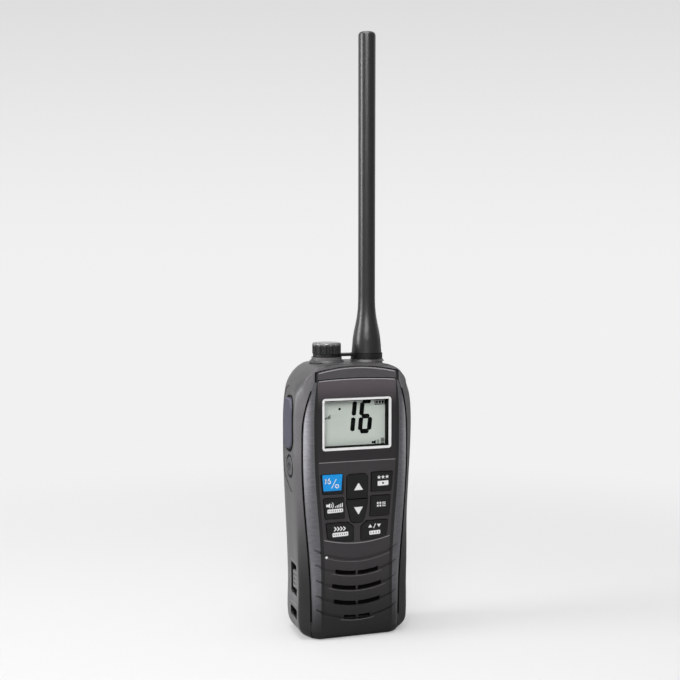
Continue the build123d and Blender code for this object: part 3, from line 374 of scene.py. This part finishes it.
DIMPLE = (0.0106, -0.0058, 0.1425)
DIMPLE_EDGE = (0.0004, 0.0011)
DIMPLE_DEPTH = 0.0002


def antenna_look():
    """Smooth antenna rubber with a small moulded dimple at its foot, coloured darker inside as painted
    shade.
    """
    m = Nodes("antenna_rubber")
    speckle = m.noise(3200.0)
    apart = m.add("ShaderNodeVectorMath", operation="DISTANCE")
    m.link(m.place, apart.inputs[0])
    apart.inputs[1].default_value = DIMPLE
    dent = m.ramp(apart.outputs["Value"], *DIMPLE_EDGE)
    rubber = m.mix(speckle, linear(34, 34, 35), linear(44, 43, 44))
    # Painted shade: the dimple is coloured darker than the rubber.
    m.colour(m.mix(dent, linear(12, 12, 12), rubber))
    m.shader.inputs["Roughness"].default_value = 0.32
    m.shader.inputs["Specular IOR Level"].default_value = 0.7
    m.shader.inputs["Sheen Weight"].default_value = 1.0
    m.shader.inputs["Sheen Roughness"].default_value = 0.12
    m.bump(dent, DIMPLE_DEPTH)
    return m


case_grey = case_look()
brow_grey = plastic("brow_plastic", (82, 79, 82), rough=0.34)
# Cover, panel and bezel carry painted shade, darker towards their foot.
cover_black = shaded_plastic("cover_plastic", (26, 25, 26), (12, 12, 12), levels=(4.0, 40.0), rough=0.42)
panel_black = shaded_plastic("panel_plastic", (54, 51, 53), (8, 7, 8), levels=(-2.0, 50.0), rough=0.42)
bezel_black = shaded_plastic(
    "bezel_plastic", (92, 85, 89), (38, 35, 37), levels=(109.0, 124.0), rough=0.32, spread=2
)
grip_grey = grip_look()
key_black = plastic("key_rubber", (17, 17, 18), rough=0.42, specular=0.4)
key_blue = blue_key_look()
frame_white = plastic("frame_white", (244, 244, 244), spread=2, rough=0.4)
ptt_grey = plastic("ptt_rubber", (76, 76, 90), rough=0.55, grain=1100.0, grain_depth=0.00012, spread=14)
power_grey = plastic("power_rubber", (84, 84, 87), rough=0.5)
latch_grey = plastic("latch_plastic", (120, 119, 120), rough=0.42)
cap_black = cap_look()
antenna_black = antenna_look()
strap_black = plastic("strap_rubber", (20, 20, 21), rough=0.45)
battery_grey = plastic("battery_plastic", (58, 57, 59), rough=0.42)
# Black for inner parts, and also for the pieces of painted shade over the gaps, seams and recesses of the
# case.
black_and_shade_plastic = plastic("inner_black_and_shade", (7, 7, 7), spread=2, rough=0.7, specular=0.1)
seal_grey = plastic("seal_rubber", (10, 10, 11), spread=3, rough=0.6, specular=0.2)
lcd_grey = plastic("lcd_face", (232, 241, 233), spread=3, rough=0.5, patch=30.0, specular=0.2)
lcd_ink = plastic("lcd_ink", (10, 11, 11), spread=3, rough=0.7, patch=30.0, specular=0.05)
legend_white = plastic("legend_white", (240, 240, 240), spread=3, rough=0.45, patch=90.0)
# Light greys for painted highlights along the edges of the keypad, slots, bezel and brow.
line_highlight_grey = plastic("line_highlight_grey", (150, 146, 148), spread=4, rough=0.35)
lip_highlight_grey = plastic("lip_highlight_grey", (92, 89, 91), spread=4, rough=0.35)
edge_highlight_grey = plastic("edge_highlight_grey", (176, 173, 175), spread=4, rough=0.35)
rim_grey = plastic("rim_grey", (128, 126, 128), spread=4, rough=0.35)
board_green = plastic("board_green", (28, 74, 46), rough=0.4)
cell_wrap = plastic("cell_wrap", (40, 70, 120), rough=0.3)
steel = metal("plated_steel", (178, 178, 180), rough=0.3)
brass = metal("contact_brass", (208, 176, 102), rough=0.28)
magnet = metal("magnet_steel", (120, 120, 124), rough=0.4)
cone_paper = plastic("cone_paper", (60, 58, 54), rough=0.8, grain=1500.0, grain_depth=0.0001)
cloth_black = plastic(
    "grille_cloth", (8, 8, 8), spread=3, rough=0.9, grain=4000.0, grain_depth=0.0001, specular=0.1
)
strobe_white = plastic("strobe_lens", (250, 250, 248), spread=2, rough=0.2)

clear = Nodes("window_clear")
clear.shader.inputs["Base Color"].default_value = (0.02, 0.02, 0.02, 1)
clear.shader.inputs["Roughness"].default_value = 0.05
clear.shader.inputs["IOR"].default_value = 1.15
clear.shader.inputs["Alpha"].default_value = 0.06

finishes = {
    case_grey: ["main_case"],
    cover_black: ["front_cover"],
    brow_grey: ["brow_trim"],
    bezel_black: ["display_bezel"],
    panel_black: ["front_panel"],
    grip_grey: ["left_grip", "right_grip"],
    frame_white: ["window_frame"],
    clear: ["window_lens"],
    black_and_shade_plastic: ["display_well", "microphone", "speaker_frame"],
    lcd_grey: ["lcd_panel"],
    strobe_white: ["backlight", "strobe_lens"],
    key_black: [
        "key_favorite", "key_volume", "key_select", "key_scan", "key_power_level", "key_up", "key_down"
    ],
    key_blue: ["key_channel"],
    seal_grey: ["key_mat", "case_seal", "cap_gasket", "antenna_gasket", "battery_seal"],
    board_green: ["main_board", "side_switch_board"],
    steel: ["dome_switches", "rf_shields", "case_screws", "tact_switches"],
    brass: [
        "contact_pins", "jack_socket", "antenna_socket", "battery_terminals", "antenna_core",
        "antenna_connector",
    ],
    magnet: ["speaker_magnet"],
    cone_paper: ["speaker_cone"],
    cloth_black: ["grille_membrane"],
    ptt_grey: ["ptt_button"],
    power_grey: ["power_button"],
    latch_grey: ["left_latch", "right_latch"],
    cap_black: ["jack_cap"],
    strap_black: ["cap_tether"],
    antenna_black: ["antenna_sheath"],
    battery_grey: ["battery_shell"],
    cell_wrap: ["battery_cells"],
}
for material, names in finishes.items():
    for name in names:
        dress(name, material)

# --------------------------------------------------------------- soft edges
JOIN_WITHIN = 0.000002
SHARP_FROM = math.radians(35)
edge_widths = {
    0.00034: ["brow_trim"],
    0.00024: ["display_bezel"],
    0.00018: [
        "key_channel", "key_favorite", "key_volume", "key_select", "key_scan", "key_power_level", "key_up"
    ],
    0.00016: ["key_down"],
}
for width, names in edge_widths.items():
    for name in names:
        joined = nodes[name].modifiers.new("joined", "WELD")
        joined.merge_threshold = JOIN_WITHIN
        bevel = nodes[name].modifiers.new("soft_edges", "BEVEL")
        bevel.width = width
        bevel.segments = 2
        bevel.limit_method = "ANGLE"
        bevel.angle_limit = SHARP_FROM
        bevel.use_clamp_overlap = True
        shade = nodes[name].modifiers.new("shade", "WEIGHTED_NORMAL")
        shade.keep_sharp = False
        shade.weight = 50


# ------------------------------------------------------------- own geometry
def add_mesh(name, body, material, points, faces, smooth=False):
    """One piece of its own, given in metres, that rides a body."""
    mesh = bpy.data.meshes.new(name)
    mesh.from_pydata(points, [], faces)
    for face in mesh.polygons:
        face.use_smooth = smooth
    mesh.materials.append(material.material)
    item = bpy.data.objects.new(name, mesh)
    scene.collection.objects.link(item)
    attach(item, body)


def on_front(level):
    """A point on a plane that looks forward, across and up in mm."""
    return lambda u, v, depth: (u * MM, (level + depth) * MM, v * MM)


def on_left(level):
    """A point on a plane that looks to the left, in mm."""
    return lambda u, v, depth: ((level + depth) * MM, -u * MM, v * MM)


def plate(name, body, material, loops, place, depth):
    """Flat raised shapes, each a loop run anticlockwise."""
    points, faces = [], []
    for loop in loops:
        first, count = len(points), len(loop)
        points += [place(u, v, 0.0) for u, v in loop]
        points += [place(u, v, depth) for u, v in loop]
        faces.append([first + step for step in range(count)])
        faces.append([first + count + step for step in reversed(range(count))])
        for step in range(count):
            after = (step + 1) % count
            faces.append((first + after, first + step, first + count + step, first + count + after))
    add_mesh(name, body, material, points, faces)


DISC_SIDES = 20
CORNER_STEPS = 5
MITRE_LIMIT = 0.6
TIP_SHARE = 0.28
STAR_POINTS = 5
STAR_WAIST = 0.42


def disc(u, v, radius):
    """A round spot."""
    turns = [2 * math.pi * step / DISC_SIDES for step in range(DISC_SIDES)]
    return [(u + radius * math.cos(turn), v + radius * math.sin(turn)) for turn in turns]


def pill(left, right, low, high, corner, rise=0.0):
    """A rounded bar, its right end higher than its left end by the rise."""
    loop = []
    corners = ((right, low, -90), (right, high, 0), (left, high, 90), (left, low, 180))
    for u, v, start in corners:
        cu = u - corner if u == right else u + corner
        cv = v - corner if v == high else v + corner
        for step in range(CORNER_STEPS + 1):
            turn = math.radians(start + 90 / CORNER_STEPS * step)
            loop.append((cu + corner * math.cos(turn), cv + corner * math.sin(turn)))
    middle = (left + right) / 2
    return [(u, v + rise * (u - middle) / (right - left)) for u, v in loop]


def stroke(path, width):
    """The outline of a pen line along a path."""
    near, far = [], []
    for step, (u, v) in enumerate(path):
        before, after = path[max(step - 1, 0)], path[min(step + 1, len(path) - 1)]
        run = Vector((after[0] - before[0], after[1] - before[1])).normalized()
        into = Vector((u - before[0], v - before[1]))
        into = into.normalized() if into.length else run
        reach = width / 2 / max(run.dot(into), MITRE_LIMIT)
        near.append((u + run.y * reach, v - run.x * reach))
        far.append((u - run.y * reach, v + run.x * reach))
    return near + far[::-1]


def arc(u, v, radius, start, end, count):
    """Points along part of a circle, from one angle in degrees to another."""
    turns = [math.radians(start + (end - start) * step / count) for step in range(count + 1)]
    return [(u + radius * math.cos(turn), v + radius * math.sin(turn)) for turn in turns]


def segment(first, last, width):
    """One bar of a display digit, with pointed ends."""
    a, b = Vector(first), Vector(last)
    run = (b - a).normalized()
    out = Vector((run.y, -run.x)) * width / 2
    tip = run * width * TIP_SHARE
    shape = (a, a + tip + out, b - tip + out, b, b - tip - out, a + tip - out)
    return [tuple(point) for point in shape]


def star(u, v, radius):
    """A star that points up."""
    loop = []
    for step in range(2 * STAR_POINTS):
        turn = math.pi / 2 + math.pi * step / STAR_POINTS
        reach = radius * STAR_WAIST if step % 2 else radius
        loop.append((u + reach * math.cos(turn), v + reach * math.sin(turn)))
    return loop


# ------------------------------------------------------------------ display
LCD_PLANE = on_front(-11.16)
INK_DEPTH = 0.05
DIGIT_STROKE = 2.2
digits = (
    ((0.45, 113.1), (-0.2, 106.1)),
    ((-0.3, 105.4), (-0.95, 98.6)),
    ((4.25, 112.5), (3.65, 106.0)),
    ((4.2, 112.85), (8.6, 112.85)),
    ((3.75, 105.7), (7.9, 105.7)),
    ((3.55, 105.3), (2.95, 98.9)),
    ((8.15, 105.3), (7.55, 98.9)),
    ((2.95, 98.55), (7.5, 98.55)),
)
plate(
    "display_digits",
    "housing",
    lcd_ink,
    [segment(first, last, DIGIT_STROKE) for first, last in digits],
    LCD_PLANE,
    INK_DEPTH,
)
battery_mark = [
    pill(10.6, 15.6, 113.1, 113.4, 0.1),
    pill(10.6, 15.6, 111.0, 111.3, 0.1),
    pill(10.4, 10.75, 111.0, 113.4, 0.1),
    pill(15.4, 15.7, 111.0, 113.4, 0.1),
    pill(15.7, 16.1, 111.7, 112.7, 0.1),
    *[pill(11.1 + 1.45 * step, 12.1 + 1.45 * step, 111.55, 112.85, 0.1) for step in range(3)],
]
signal_mark = [
    pill(-14.6 + 0.75 * step, -14.15 + 0.75 * step, 105.0, 105.5 + 0.45 * step, 0.08) for step in range(4)
]
speaker_mark = [
    [(9.0, 92.4), (9.9, 92.4), (9.9, 93.5), (9.0, 93.5)],
    [(9.9, 92.6), (11.0, 91.9), (11.0, 94.0), (9.9, 93.3)],
    stroke(arc(11.0, 92.95, 0.9, -50, 50, 6), 0.25),
    stroke(arc(11.0, 92.95, 1.6, -50, 50, 6), 0.25),
]
level_mark = [pill(13.6, 15.3, 92.0 + 0.62 * step, 92.4 + 0.62 * step, 0.1) for step in range(5)]
plate(
    "display_marks",
    "housing",
    lcd_ink,
    battery_mark + signal_mark + speaker_mark + level_mark + [disc(-7.3, 109.6, 0.62)],
    LCD_PLANE,
    INK_DEPTH,
)

# -------------------------------------------------------------- key legends
KEY_PLANE = on_front(-15.92)
TICK_PLANE = on_front(-15.935)
KEY_SINK = 0.05


def legend(name, loops):
    """A printed key mark that rides its key."""
    plate("legend_" + name, "key_" + name, legend_white, loops, KEY_PLANE, KEY_SINK)


def dark_marks(name, loops):
    """Dark marks printed over a key's white mark."""
    plate("ticks_" + name, "key_" + name, key_black, loops, TICK_PLANE, KEY_SINK)


BAR_CORNER = 0.45
TICK_HALF_WIDTH, TICK_HALF_HEIGHT, TICK_CORNER = 0.14, 0.42, 0.1
TICK_INSET, TICK_ROOM, TICK_LEAST = 0.8, 1.2, 0.9


def printed_pill(name, left, right, low, high, rise):
    """A white bar on a key with a row of dark ticks on it."""
    middle = (low + high) / 2
    count = max(int((right - left - TICK_ROOM) / TICK_LEAST), 1)
    pitch = (right - left - 2 * TICK_INSET) / max(count - 1, 1)
    ticks = []
    for step in range(count):
        u = left + TICK_INSET + pitch * step
        v = middle + rise * (u - (left + right) / 2) / (right - left)
        sides = (u - TICK_HALF_WIDTH, u + TICK_HALF_WIDTH, v - TICK_HALF_HEIGHT, v + TICK_HALF_HEIGHT)
        ticks.append(pill(*sides, TICK_CORNER))
    dark_marks(name, ticks)
    return pill(left, right, low, high, BAR_CORNER, rise)


NUMERAL = 0.42
one = [stroke([(-16.4, 77.0), (-15.8, 77.5), (-15.9, 75.1)], NUMERAL)]
six = [
    stroke(arc(-14.1, 75.85, 0.66, 0, 360, 16), NUMERAL),
    stroke([(-14.75, 75.9), (-14.6, 76.8), (-13.9, 77.6)], NUMERAL),
]
slash = [stroke([(-12.9, 72.9), (-10.6, 77.2)], 0.36)]
ring = [stroke(arc(-10.2, 73.8, 0.8, 0, 360, 18), NUMERAL)]
legend("channel", one + six + slash + ring)

favorite = [star(10.9 + 2.05 * step, 76.75 + 0.06 * step, 1.05) for step in range(3)]
legend("favorite", favorite + [pill(10.2, 15.7, 72.75, 75.05, BAR_CORNER, 0.15)])
dark_marks("favorite", [disc(12.95, 73.95, 0.5)])

volume = [
    [(-15.6, 64.1), (-14.7, 64.1), (-14.7, 65.3), (-15.6, 65.3)],
    [(-14.7, 64.2), (-13.6, 63.5), (-13.6, 65.9), (-14.7, 65.2)],
    stroke(arc(-13.9, 64.7, 1.1, -45, 45, 6), 0.34),
    stroke(arc(-13.9, 64.7, 1.9, -45, 45, 6), 0.34),
    *[pill(-11.2 + 0.85 * step, -10.7 + 0.85 * step, 63.6, 64.3 + 0.36 * step, 0.1) for step in range(5)],
]
legend("volume", volume + [printed_pill("volume", -15.0, -7.2, 61.2, 63.0, 0.2)])
select = [
    *[disc(10.3 + 1.3 * (step % 2), 63.15 + 1.3 * (step // 2), 0.5) for step in range(4)],
    *[pill(12.5, 14.3, 62.75 + 0.85 * step, 63.15 + 0.85 * step, 0.15) for step in range(3)],
]
legend("select", select)
scan = [stroke([(u, 54.35), (u + 1.0, 53.4), (u, 52.45)], 0.5) for u in (-11.6, -10.1, -8.6, -7.1)]
legend("scan", scan + [printed_pill("scan", -12.5, -4.6, 49.7, 51.7, 0.25)])
power_level = [
    [(5.5, 52.9), (7.5, 52.9), (6.5, 54.5)],
    stroke([(8.2, 52.5), (9.2, 54.7)], 0.4),
    [(9.9, 54.4), (10.9, 52.8), (11.9, 54.4)],
]
legend("power_level", power_level + [printed_pill("power_level", 6.0, 11.6, 49.5, 51.4, 0.2)])
legend("up", [[(-1.7, 71.25), (2.75, 71.35), (0.7, 74.6), (0.4, 74.6)]])
legend("down", [[(-1.7, 63.15), (0.4, 59.75), (0.7, 59.75), (2.75, 63.25)]])

# -------------------------------------------------------------- front lines, painted highlights and shade
LINE_DEPTH = 0.3
LINE_STEPS = 12
CHIN_RADIUS, CHIN_FOOT, CHIN_HALF, CHIN_STEPS = 58.0, 45.95, 16.5, 33
SLOT_RADIUS = 44.0
SLOT_LIP_DROP = 1.5
SLOT_LIPS = ((38.5, 16.5), (31.6, 12.6), (24.4, 14.2), (17.1, 13.4), (10.3, 8.4))


def front_line(name, material, path, width, level):
    """A thin raised line on the front, along a path in mm."""
    plate(name, "housing", material, [stroke(path, width)], on_front(level), LINE_DEPTH)


def even_steps(half, count=LINE_STEPS):
    """Even steps from one side of the middle to the other, in mm, with a count on each side."""
    return [half * step / count for step in range(-count, count + 1)]


def arched(half, middle, sag):
    """Points along a low arch over the display, in mm."""
    return [(u, middle - sag * (u / half) ** 2) for u in even_steps(half)]


chin_line = [(u, CHIN_FOOT + u**2 / (2 * CHIN_RADIUS)) for u in even_steps(CHIN_HALF, CHIN_STEPS)]
# Painted highlights: light grey lines along the keypad's lower rim, under each slot, along the bezel and
# the brow's top edge.
front_line("keypad_rim_highlight", line_highlight_grey, chin_line, 0.34, -15.56)
for number, (height, half) in enumerate(SLOT_LIPS, 1):
    foot = height - SLOT_LIP_DROP + SLOT_RADIUS
    lip = [(u, foot - math.sqrt(SLOT_RADIUS**2 - u**2)) for u in even_steps(half)]
    front_line("slot_lip_highlight_" + str(number), lip_highlight_grey, lip, 0.3, -15.54)
front_line("bezel_line", line_highlight_grey, [(-19.0, 85.1), (19.3, 85.1)], 0.3, -15.56)
front_line("bezel_top_line", edge_highlight_grey, arched(18.9, 124.1, 0.75), 0.4, -15.57)
# Painted shade: a dark line over the gap between the brow and the bezel.
front_line("bezel_gap_shade", black_and_shade_plastic, arched(19.5, 124.6, 0.8), 0.42, -15.58)
front_line("brow_line", edge_highlight_grey, arched(19.0, 129.4, 2.3), 0.36, -15.57)

# --------------------------------------------------------------- side pieces
case_tree = BVHTree.FromPolygons(
    [nodes["main_case"].matrix_world @ vertex.co for vertex in nodes["main_case"].data.vertices],
    [tuple(face.vertices) for face in nodes["main_case"].data.polygons],
)


OUTSIDE = 60
BEAD_SIDES = 8
BEAD_SINK = 0.12


def on_side(y, z, hand):
    """The case's surface at a place on its left (-1) or right (1) side, and the way it faces."""
    start = Vector((hand * OUTSIDE * MM, y * MM, z * MM))
    spot, facing, _, _ = case_tree.ray_cast(start, Vector((-hand, 0, 0)))
    return spot, facing


def bead(name, material, path, radius, closed=False):
    """A round bead on the case along points on its surface, each with the way the surface faces."""
    points, faces = [], []
    total = len(path)
    for step, (spot, facing) in enumerate(path):
        before = path[(step - 1) % total if closed else max(step - 1, 0)][0]
        after = path[(step + 1) % total if closed else min(step + 1, total - 1)][0]
        run = (after - before).normalized()
        across = run.cross(facing).normalized()
        out = across.cross(run).normalized()
        centre = spot - out * BEAD_SINK * MM
        for turn in range(BEAD_SIDES):
            angle = 2 * math.pi * turn / BEAD_SIDES
            points.append(centre + radius * MM * (across * math.cos(angle) + out * math.sin(angle)))
    for step in range(total if closed else total - 1):
        here, after = step * BEAD_SIDES, (step + 1) % total * BEAD_SIDES
        for turn in range(BEAD_SIDES):
            up = (turn + 1) % BEAD_SIDES
            faces.append((here + turn, here + up, after + up, after + turn))
    if not closed:
        faces.append(tuple(reversed(range(BEAD_SIDES))))
        faces.append(tuple((total - 1) * BEAD_SIDES + turn for turn in range(BEAD_SIDES)))
    add_mesh(name, "housing", material, points, faces, smooth=True)


RIM_FRONT, RIM_BACK, RIM_LOW, RIM_HIGH, RIM_CORNER = -9.0, 4.2, 15.9, 36.4, 1.4
RIM_STEP, RIM_RADIUS = 1.2, 0.3
RIB_COUNT, RIB_FIRST, RIB_PITCH, RIB_FOOT = 5, -6.8, 2.2, 16.9
RIB_STEP, RIB_POINTS, RIB_RADIUS = 0.55, 6, 0.32
rim_shape = pill(RIM_FRONT, RIM_BACK, RIM_LOW, RIM_HIGH, RIM_CORNER)
for hand, label in ((-1, "left"), (1, "right")):
    long_rim = []
    for step, (y, z) in enumerate(rim_shape):
        next_y, next_z = rim_shape[(step + 1) % len(rim_shape)]
        pieces = max(int(math.hypot(next_y - y, next_z - z) / RIM_STEP), 1)
        for part in range(pieces):
            share = part / pieces
            long_rim.append(on_side(y + (next_y - y) * share, z + (next_z - z) * share, hand))
    bead(label + "_latch_rim", rim_grey, long_rim, RIM_RADIUS, closed=True)
    for step in range(RIB_COUNT):
        y = RIB_FIRST + RIB_PITCH * step
        rib = [on_side(y, RIB_FOOT + RIB_STEP * part, hand) for part in range(RIB_POINTS)]
        bead(label + "_latch_rib_" + str(step + 1), rim_grey, rib, RIB_RADIUS)

LIP_RINGS = 4
LIP_STEP = 1.5
LIP_EDGE, LIP_CROWN = 0.02, 0.12


def surround(name, centre, size, corner, inner, front, back, ends):
    """A thin dark sheet that lies on the left side round a button: painted shade in the recess round it."""
    (y, z), half_y, half_z = centre, size[0] / 2, size[1] / 2
    near = pill(
        y - half_y - inner, y + half_y + inner, z - half_z - inner, z + half_z + inner, corner + inner
    )
    far = pill(y - half_y - front, y + half_y + back, z - half_z - ends, z + half_z + ends, corner + ends)
    points, faces = [], []
    total = 0
    for step, (first, last) in enumerate(zip(near, far)):
        after_first, after_last = near[(step + 1) % len(near)], far[(step + 1) % len(far)]
        pieces = max(int(math.dist(first, after_first) / LIP_STEP), 1)
        for part in range(pieces):
            share = part / pieces
            start = [first[k] + (after_first[k] - first[k]) * share for k in range(2)]
            end = [last[k] + (after_last[k] - last[k]) * share for k in range(2)]
            for ring in range(LIP_RINGS):
                blend = ring / (LIP_RINGS - 1)
                across_y = start[0] + (end[0] - start[0]) * blend
                across_z = start[1] + (end[1] - start[1]) * blend
                spot, facing = on_side(across_y, across_z, -1)
                lift = LIP_EDGE if ring in (0, LIP_RINGS - 1) else LIP_CROWN
                points.append(spot + facing * lift * MM)
            total += 1
    for step in range(total):
        after = (step + 1) % total
        for ring in range(LIP_RINGS - 1):
            a, b = step * LIP_RINGS + ring, after * LIP_RINGS + ring
            faces.append((a, a + 1, b + 1, b))
    add_mesh(name, "housing", black_and_shade_plastic, points, faces, smooth=True)


PTT_CENTRE, PTT_SIZE = (0.1, 102.5), (12.6, 24.4)
POWER_CENTRE, POWER_SIZE = (-1.6, 82.1), (8.6, 9.2)
# Painted shade round the PTT and power buttons.
surround("ptt_surround", PTT_CENTRE, PTT_SIZE, 5.2, inner=0.75, front=2.6, back=1.2, ends=1.3)
surround("power_surround", POWER_CENTRE, POWER_SIZE, 3.9, inner=0.55, front=1.15, back=1.0, ends=1.0)

# ------------------------------------------------------ painted shade along the seam round the cover
SEAM_FOOT, SEAM_STEP, SEAM_STEPS = 9.0, 2.0, 56
SEAM_OUT, SEAM_RADIUS, SEAM_START = 0.6, 0.38, -40
WAIST_HALF, WAIST_LEVEL = 21.7, 14.4
CHEST_GAIN, CHEST_LEVEL = 4.1, 86.7
NECK_DRAW, NECK_LEVEL, NECK_RISE = 5.2, 97.8, 25.1


def eased(value, low, high):
    """How far a value is between two others, from 0 to 1, with soft ends."""
    share = min(max((value - low) / (high - low), 0.0), 1.0)
    return share * share * (3 - 2 * share)


def seam_half(z):
    """Half the cover's width at a height, in mm: it widens to the chest and draws in at the neck."""
    half = WAIST_HALF + CHEST_GAIN * eased(z, WAIST_LEVEL, CHEST_LEVEL)
    return half - NECK_DRAW * (max(z - NECK_LEVEL, 0.0) / NECK_RISE) ** 2


# A dark bead along each side of the cover's seam: painted shade in the seam groove.
for hand, label in ((-1, "left"), (1, "right")):
    seam = []
    for step in range(SEAM_STEPS):
        z = SEAM_FOOT + SEAM_STEP * step
        start = Vector((hand * (seam_half(z) + SEAM_OUT) * MM, SEAM_START * MM, z * MM))
        spot, facing, _, _ = case_tree.ray_cast(start, Vector((0, 1, 0)))
        seam.append((spot, facing))
    bead(label + "_seam_shade", black_and_shade_plastic, seam, SEAM_RADIUS)

MARK_PLANE = on_left(-29.5)
MARK_RADIUS, MARK_STROKE, MARK_DEPTH = 1.75, 0.45, 0.2
mark_u, mark_v = -POWER_CENTRE[0], POWER_CENTRE[1]
power_mark = [
    stroke(arc(mark_u, mark_v, MARK_RADIUS, 125, 415, 18), MARK_STROKE),
    stroke([(mark_u, mark_v + 0.1), (mark_u, mark_v + 2.0)], MARK_STROKE),
]
plate("power_mark", "power", antenna_black, power_mark, MARK_PLANE, MARK_DEPTH)

# ------------------------------------------------------------ lights, stage
SKY_STRENGTH = 0.5
SKY_RANGE = (-0.6, 0.9, 0.35, 1.0)

world = bpy.data.worlds.new("world")
scene.world = world
world.use_nodes = True
sky = world.node_tree
background = sky.nodes["Background"]
background.inputs["Strength"].default_value = SKY_STRENGTH
direction = sky.nodes.new("ShaderNodeTexCoord")
split = sky.nodes.new("ShaderNodeSeparateXYZ")
sky.links.new(direction.outputs["Generated"], split.inputs[0])
toward_back = sky.nodes.new("ShaderNodeMapRange")
toward_back.interpolation_type = "SMOOTHSTEP"
for key, number in zip(RANGE_SOCKETS, SKY_RANGE):
    toward_back.inputs[key].default_value = number
sky.links.new(split.outputs["Y"], toward_back.inputs["Value"])
sky.links.new(toward_back.outputs["Result"], background.inputs["Color"])
pale = sky.nodes.new("ShaderNodeBackground")
pale.inputs["Color"].default_value = linear(238, 238, 238)
ray = sky.nodes.new("ShaderNodeLightPath")
shown = sky.nodes.new("ShaderNodeMixShader")
sky.links.new(ray.outputs["Is Camera Ray"], shown.inputs[0])
sky.links.new(background.outputs[0], shown.inputs[1])
sky.links.new(pale.outputs[0], shown.inputs[2])
sky.links.new(shown.outputs[0], sky.nodes["World Output"].inputs["Surface"])


def area_light(name, place, target, size, power):
    """A soft rectangular lamp that looks at a point."""
    data = bpy.data.lights.new(name, "AREA")
    data.shape = "RECTANGLE"
    data.size, data.size_y = size
    data.energy = power
    light = bpy.data.objects.new(name, data)
    scene.collection.objects.link(light)
    light.location = place
    light.rotation_euler = (Vector(target) - Vector(place)).to_track_quat("-Z", "Y").to_euler()


area_light("key_light", place=(-1.0, 0.1, 0.55), target=(0, 0, 0.13), size=(0.35, 0.8), power=8)
area_light("top_light", place=(-0.1, -0.1, 1.1), target=(0, 0, 0.1), size=(0.7, 0.7), power=9)
area_light("front_light", place=(-0.3, -0.75, 0.62), target=(0, 0, 0.13), size=(0.5, 0.4), power=5)

FLOOR_HALF = 2.0
WALL_HALF = 3.0
WALL_DISTANCE = 1.6
WALL_RADIUS = 0.8
WALL_TOP = 3.0
WALL_STEPS = 24
SHADOW_REACH = (0.12, 0.5)
WALL_FADE = (0.1, 0.9)
WALL_FOOT = (0.02, 0.3)


def backdrop():
    """A pale floor that curves up into a wall behind."""
    bend = WALL_DISTANCE - WALL_RADIUS
    profile = [(-FLOOR_HALF, 0.0), (bend, 0.0)]
    for step in range(1, WALL_STEPS + 1):
        angle = math.pi / 2 * step / WALL_STEPS
        profile.append((bend + WALL_RADIUS * math.sin(angle), WALL_RADIUS * (1 - math.cos(angle))))
    profile.append((WALL_DISTANCE, WALL_TOP))
    mesh = bpy.data.meshes.new("backdrop")
    points = [(x, y, z) for y, z in profile for x in (-WALL_HALF, WALL_HALF)]
    faces = [(2 * i, 2 * i + 1, 2 * i + 3, 2 * i + 2) for i in range(len(profile) - 1)]
    mesh.from_pydata(points, [], faces)
    for face in mesh.polygons:
        face.use_smooth = True
    piece = bpy.data.objects.new("backdrop", mesh)
    scene.collection.objects.link(piece)
    piece.rotation_euler = (0, 0, -side)
    return piece


def floor_look():
    """Pale paint: shadow near the object, an even tone further out, and pale in reflections."""
    look = Nodes("floor_paint")
    output = look.tree.nodes["Material Output"]
    look.tree.nodes.remove(look.shader)
    place = look.axes()
    squares = [look.math("POWER", place[key], 2.0) for key in ("X", "Y")]
    reach = look.math("SQRT", look.math("ADD", *squares))

    def coloured(kind, colour):
        """A shader of one colour."""
        node = look.add(kind)
        look.feed(node.inputs["Color"], colour)
        return node.outputs[0]

    def blended(factor, first, second):
        """Two shaders mixed."""
        node = look.add("ShaderNodeMixShader")
        for socket, value in zip(node.inputs, (factor, first, second)):
            look.link(value, socket)
        return node.outputs[0]

    paint = coloured("ShaderNodeBsdfDiffuse", linear(211, 211, 211))
    level = look.ramp(place["Z"], *WALL_FADE, 1.0, 0.0)
    glow = coloured("ShaderNodeEmission", look.mix(level, linear(214, 214, 214), linear(241, 241, 241)))
    seen = blended(look.ramp(reach, *SHADOW_REACH, 0.4, 1.0), paint, glow)
    dull = coloured("ShaderNodeBsdfDiffuse", linear(170, 170, 170))
    bright = coloured("ShaderNodeEmission", linear(236, 236, 236))
    ray = look.add("ShaderNodeLightPath")
    wall = look.ramp(place["Z"], *WALL_FOOT)
    mirrored = blended(look.math("MULTIPLY", ray.outputs["Is Glossy Ray"], wall), dull, bright)
    final = blended(ray.outputs["Is Camera Ray"], mirrored, seen)
    look.link(final, output.inputs["Surface"])
    return look.material


floor = backdrop()
floor.data.materials.append(floor_look())
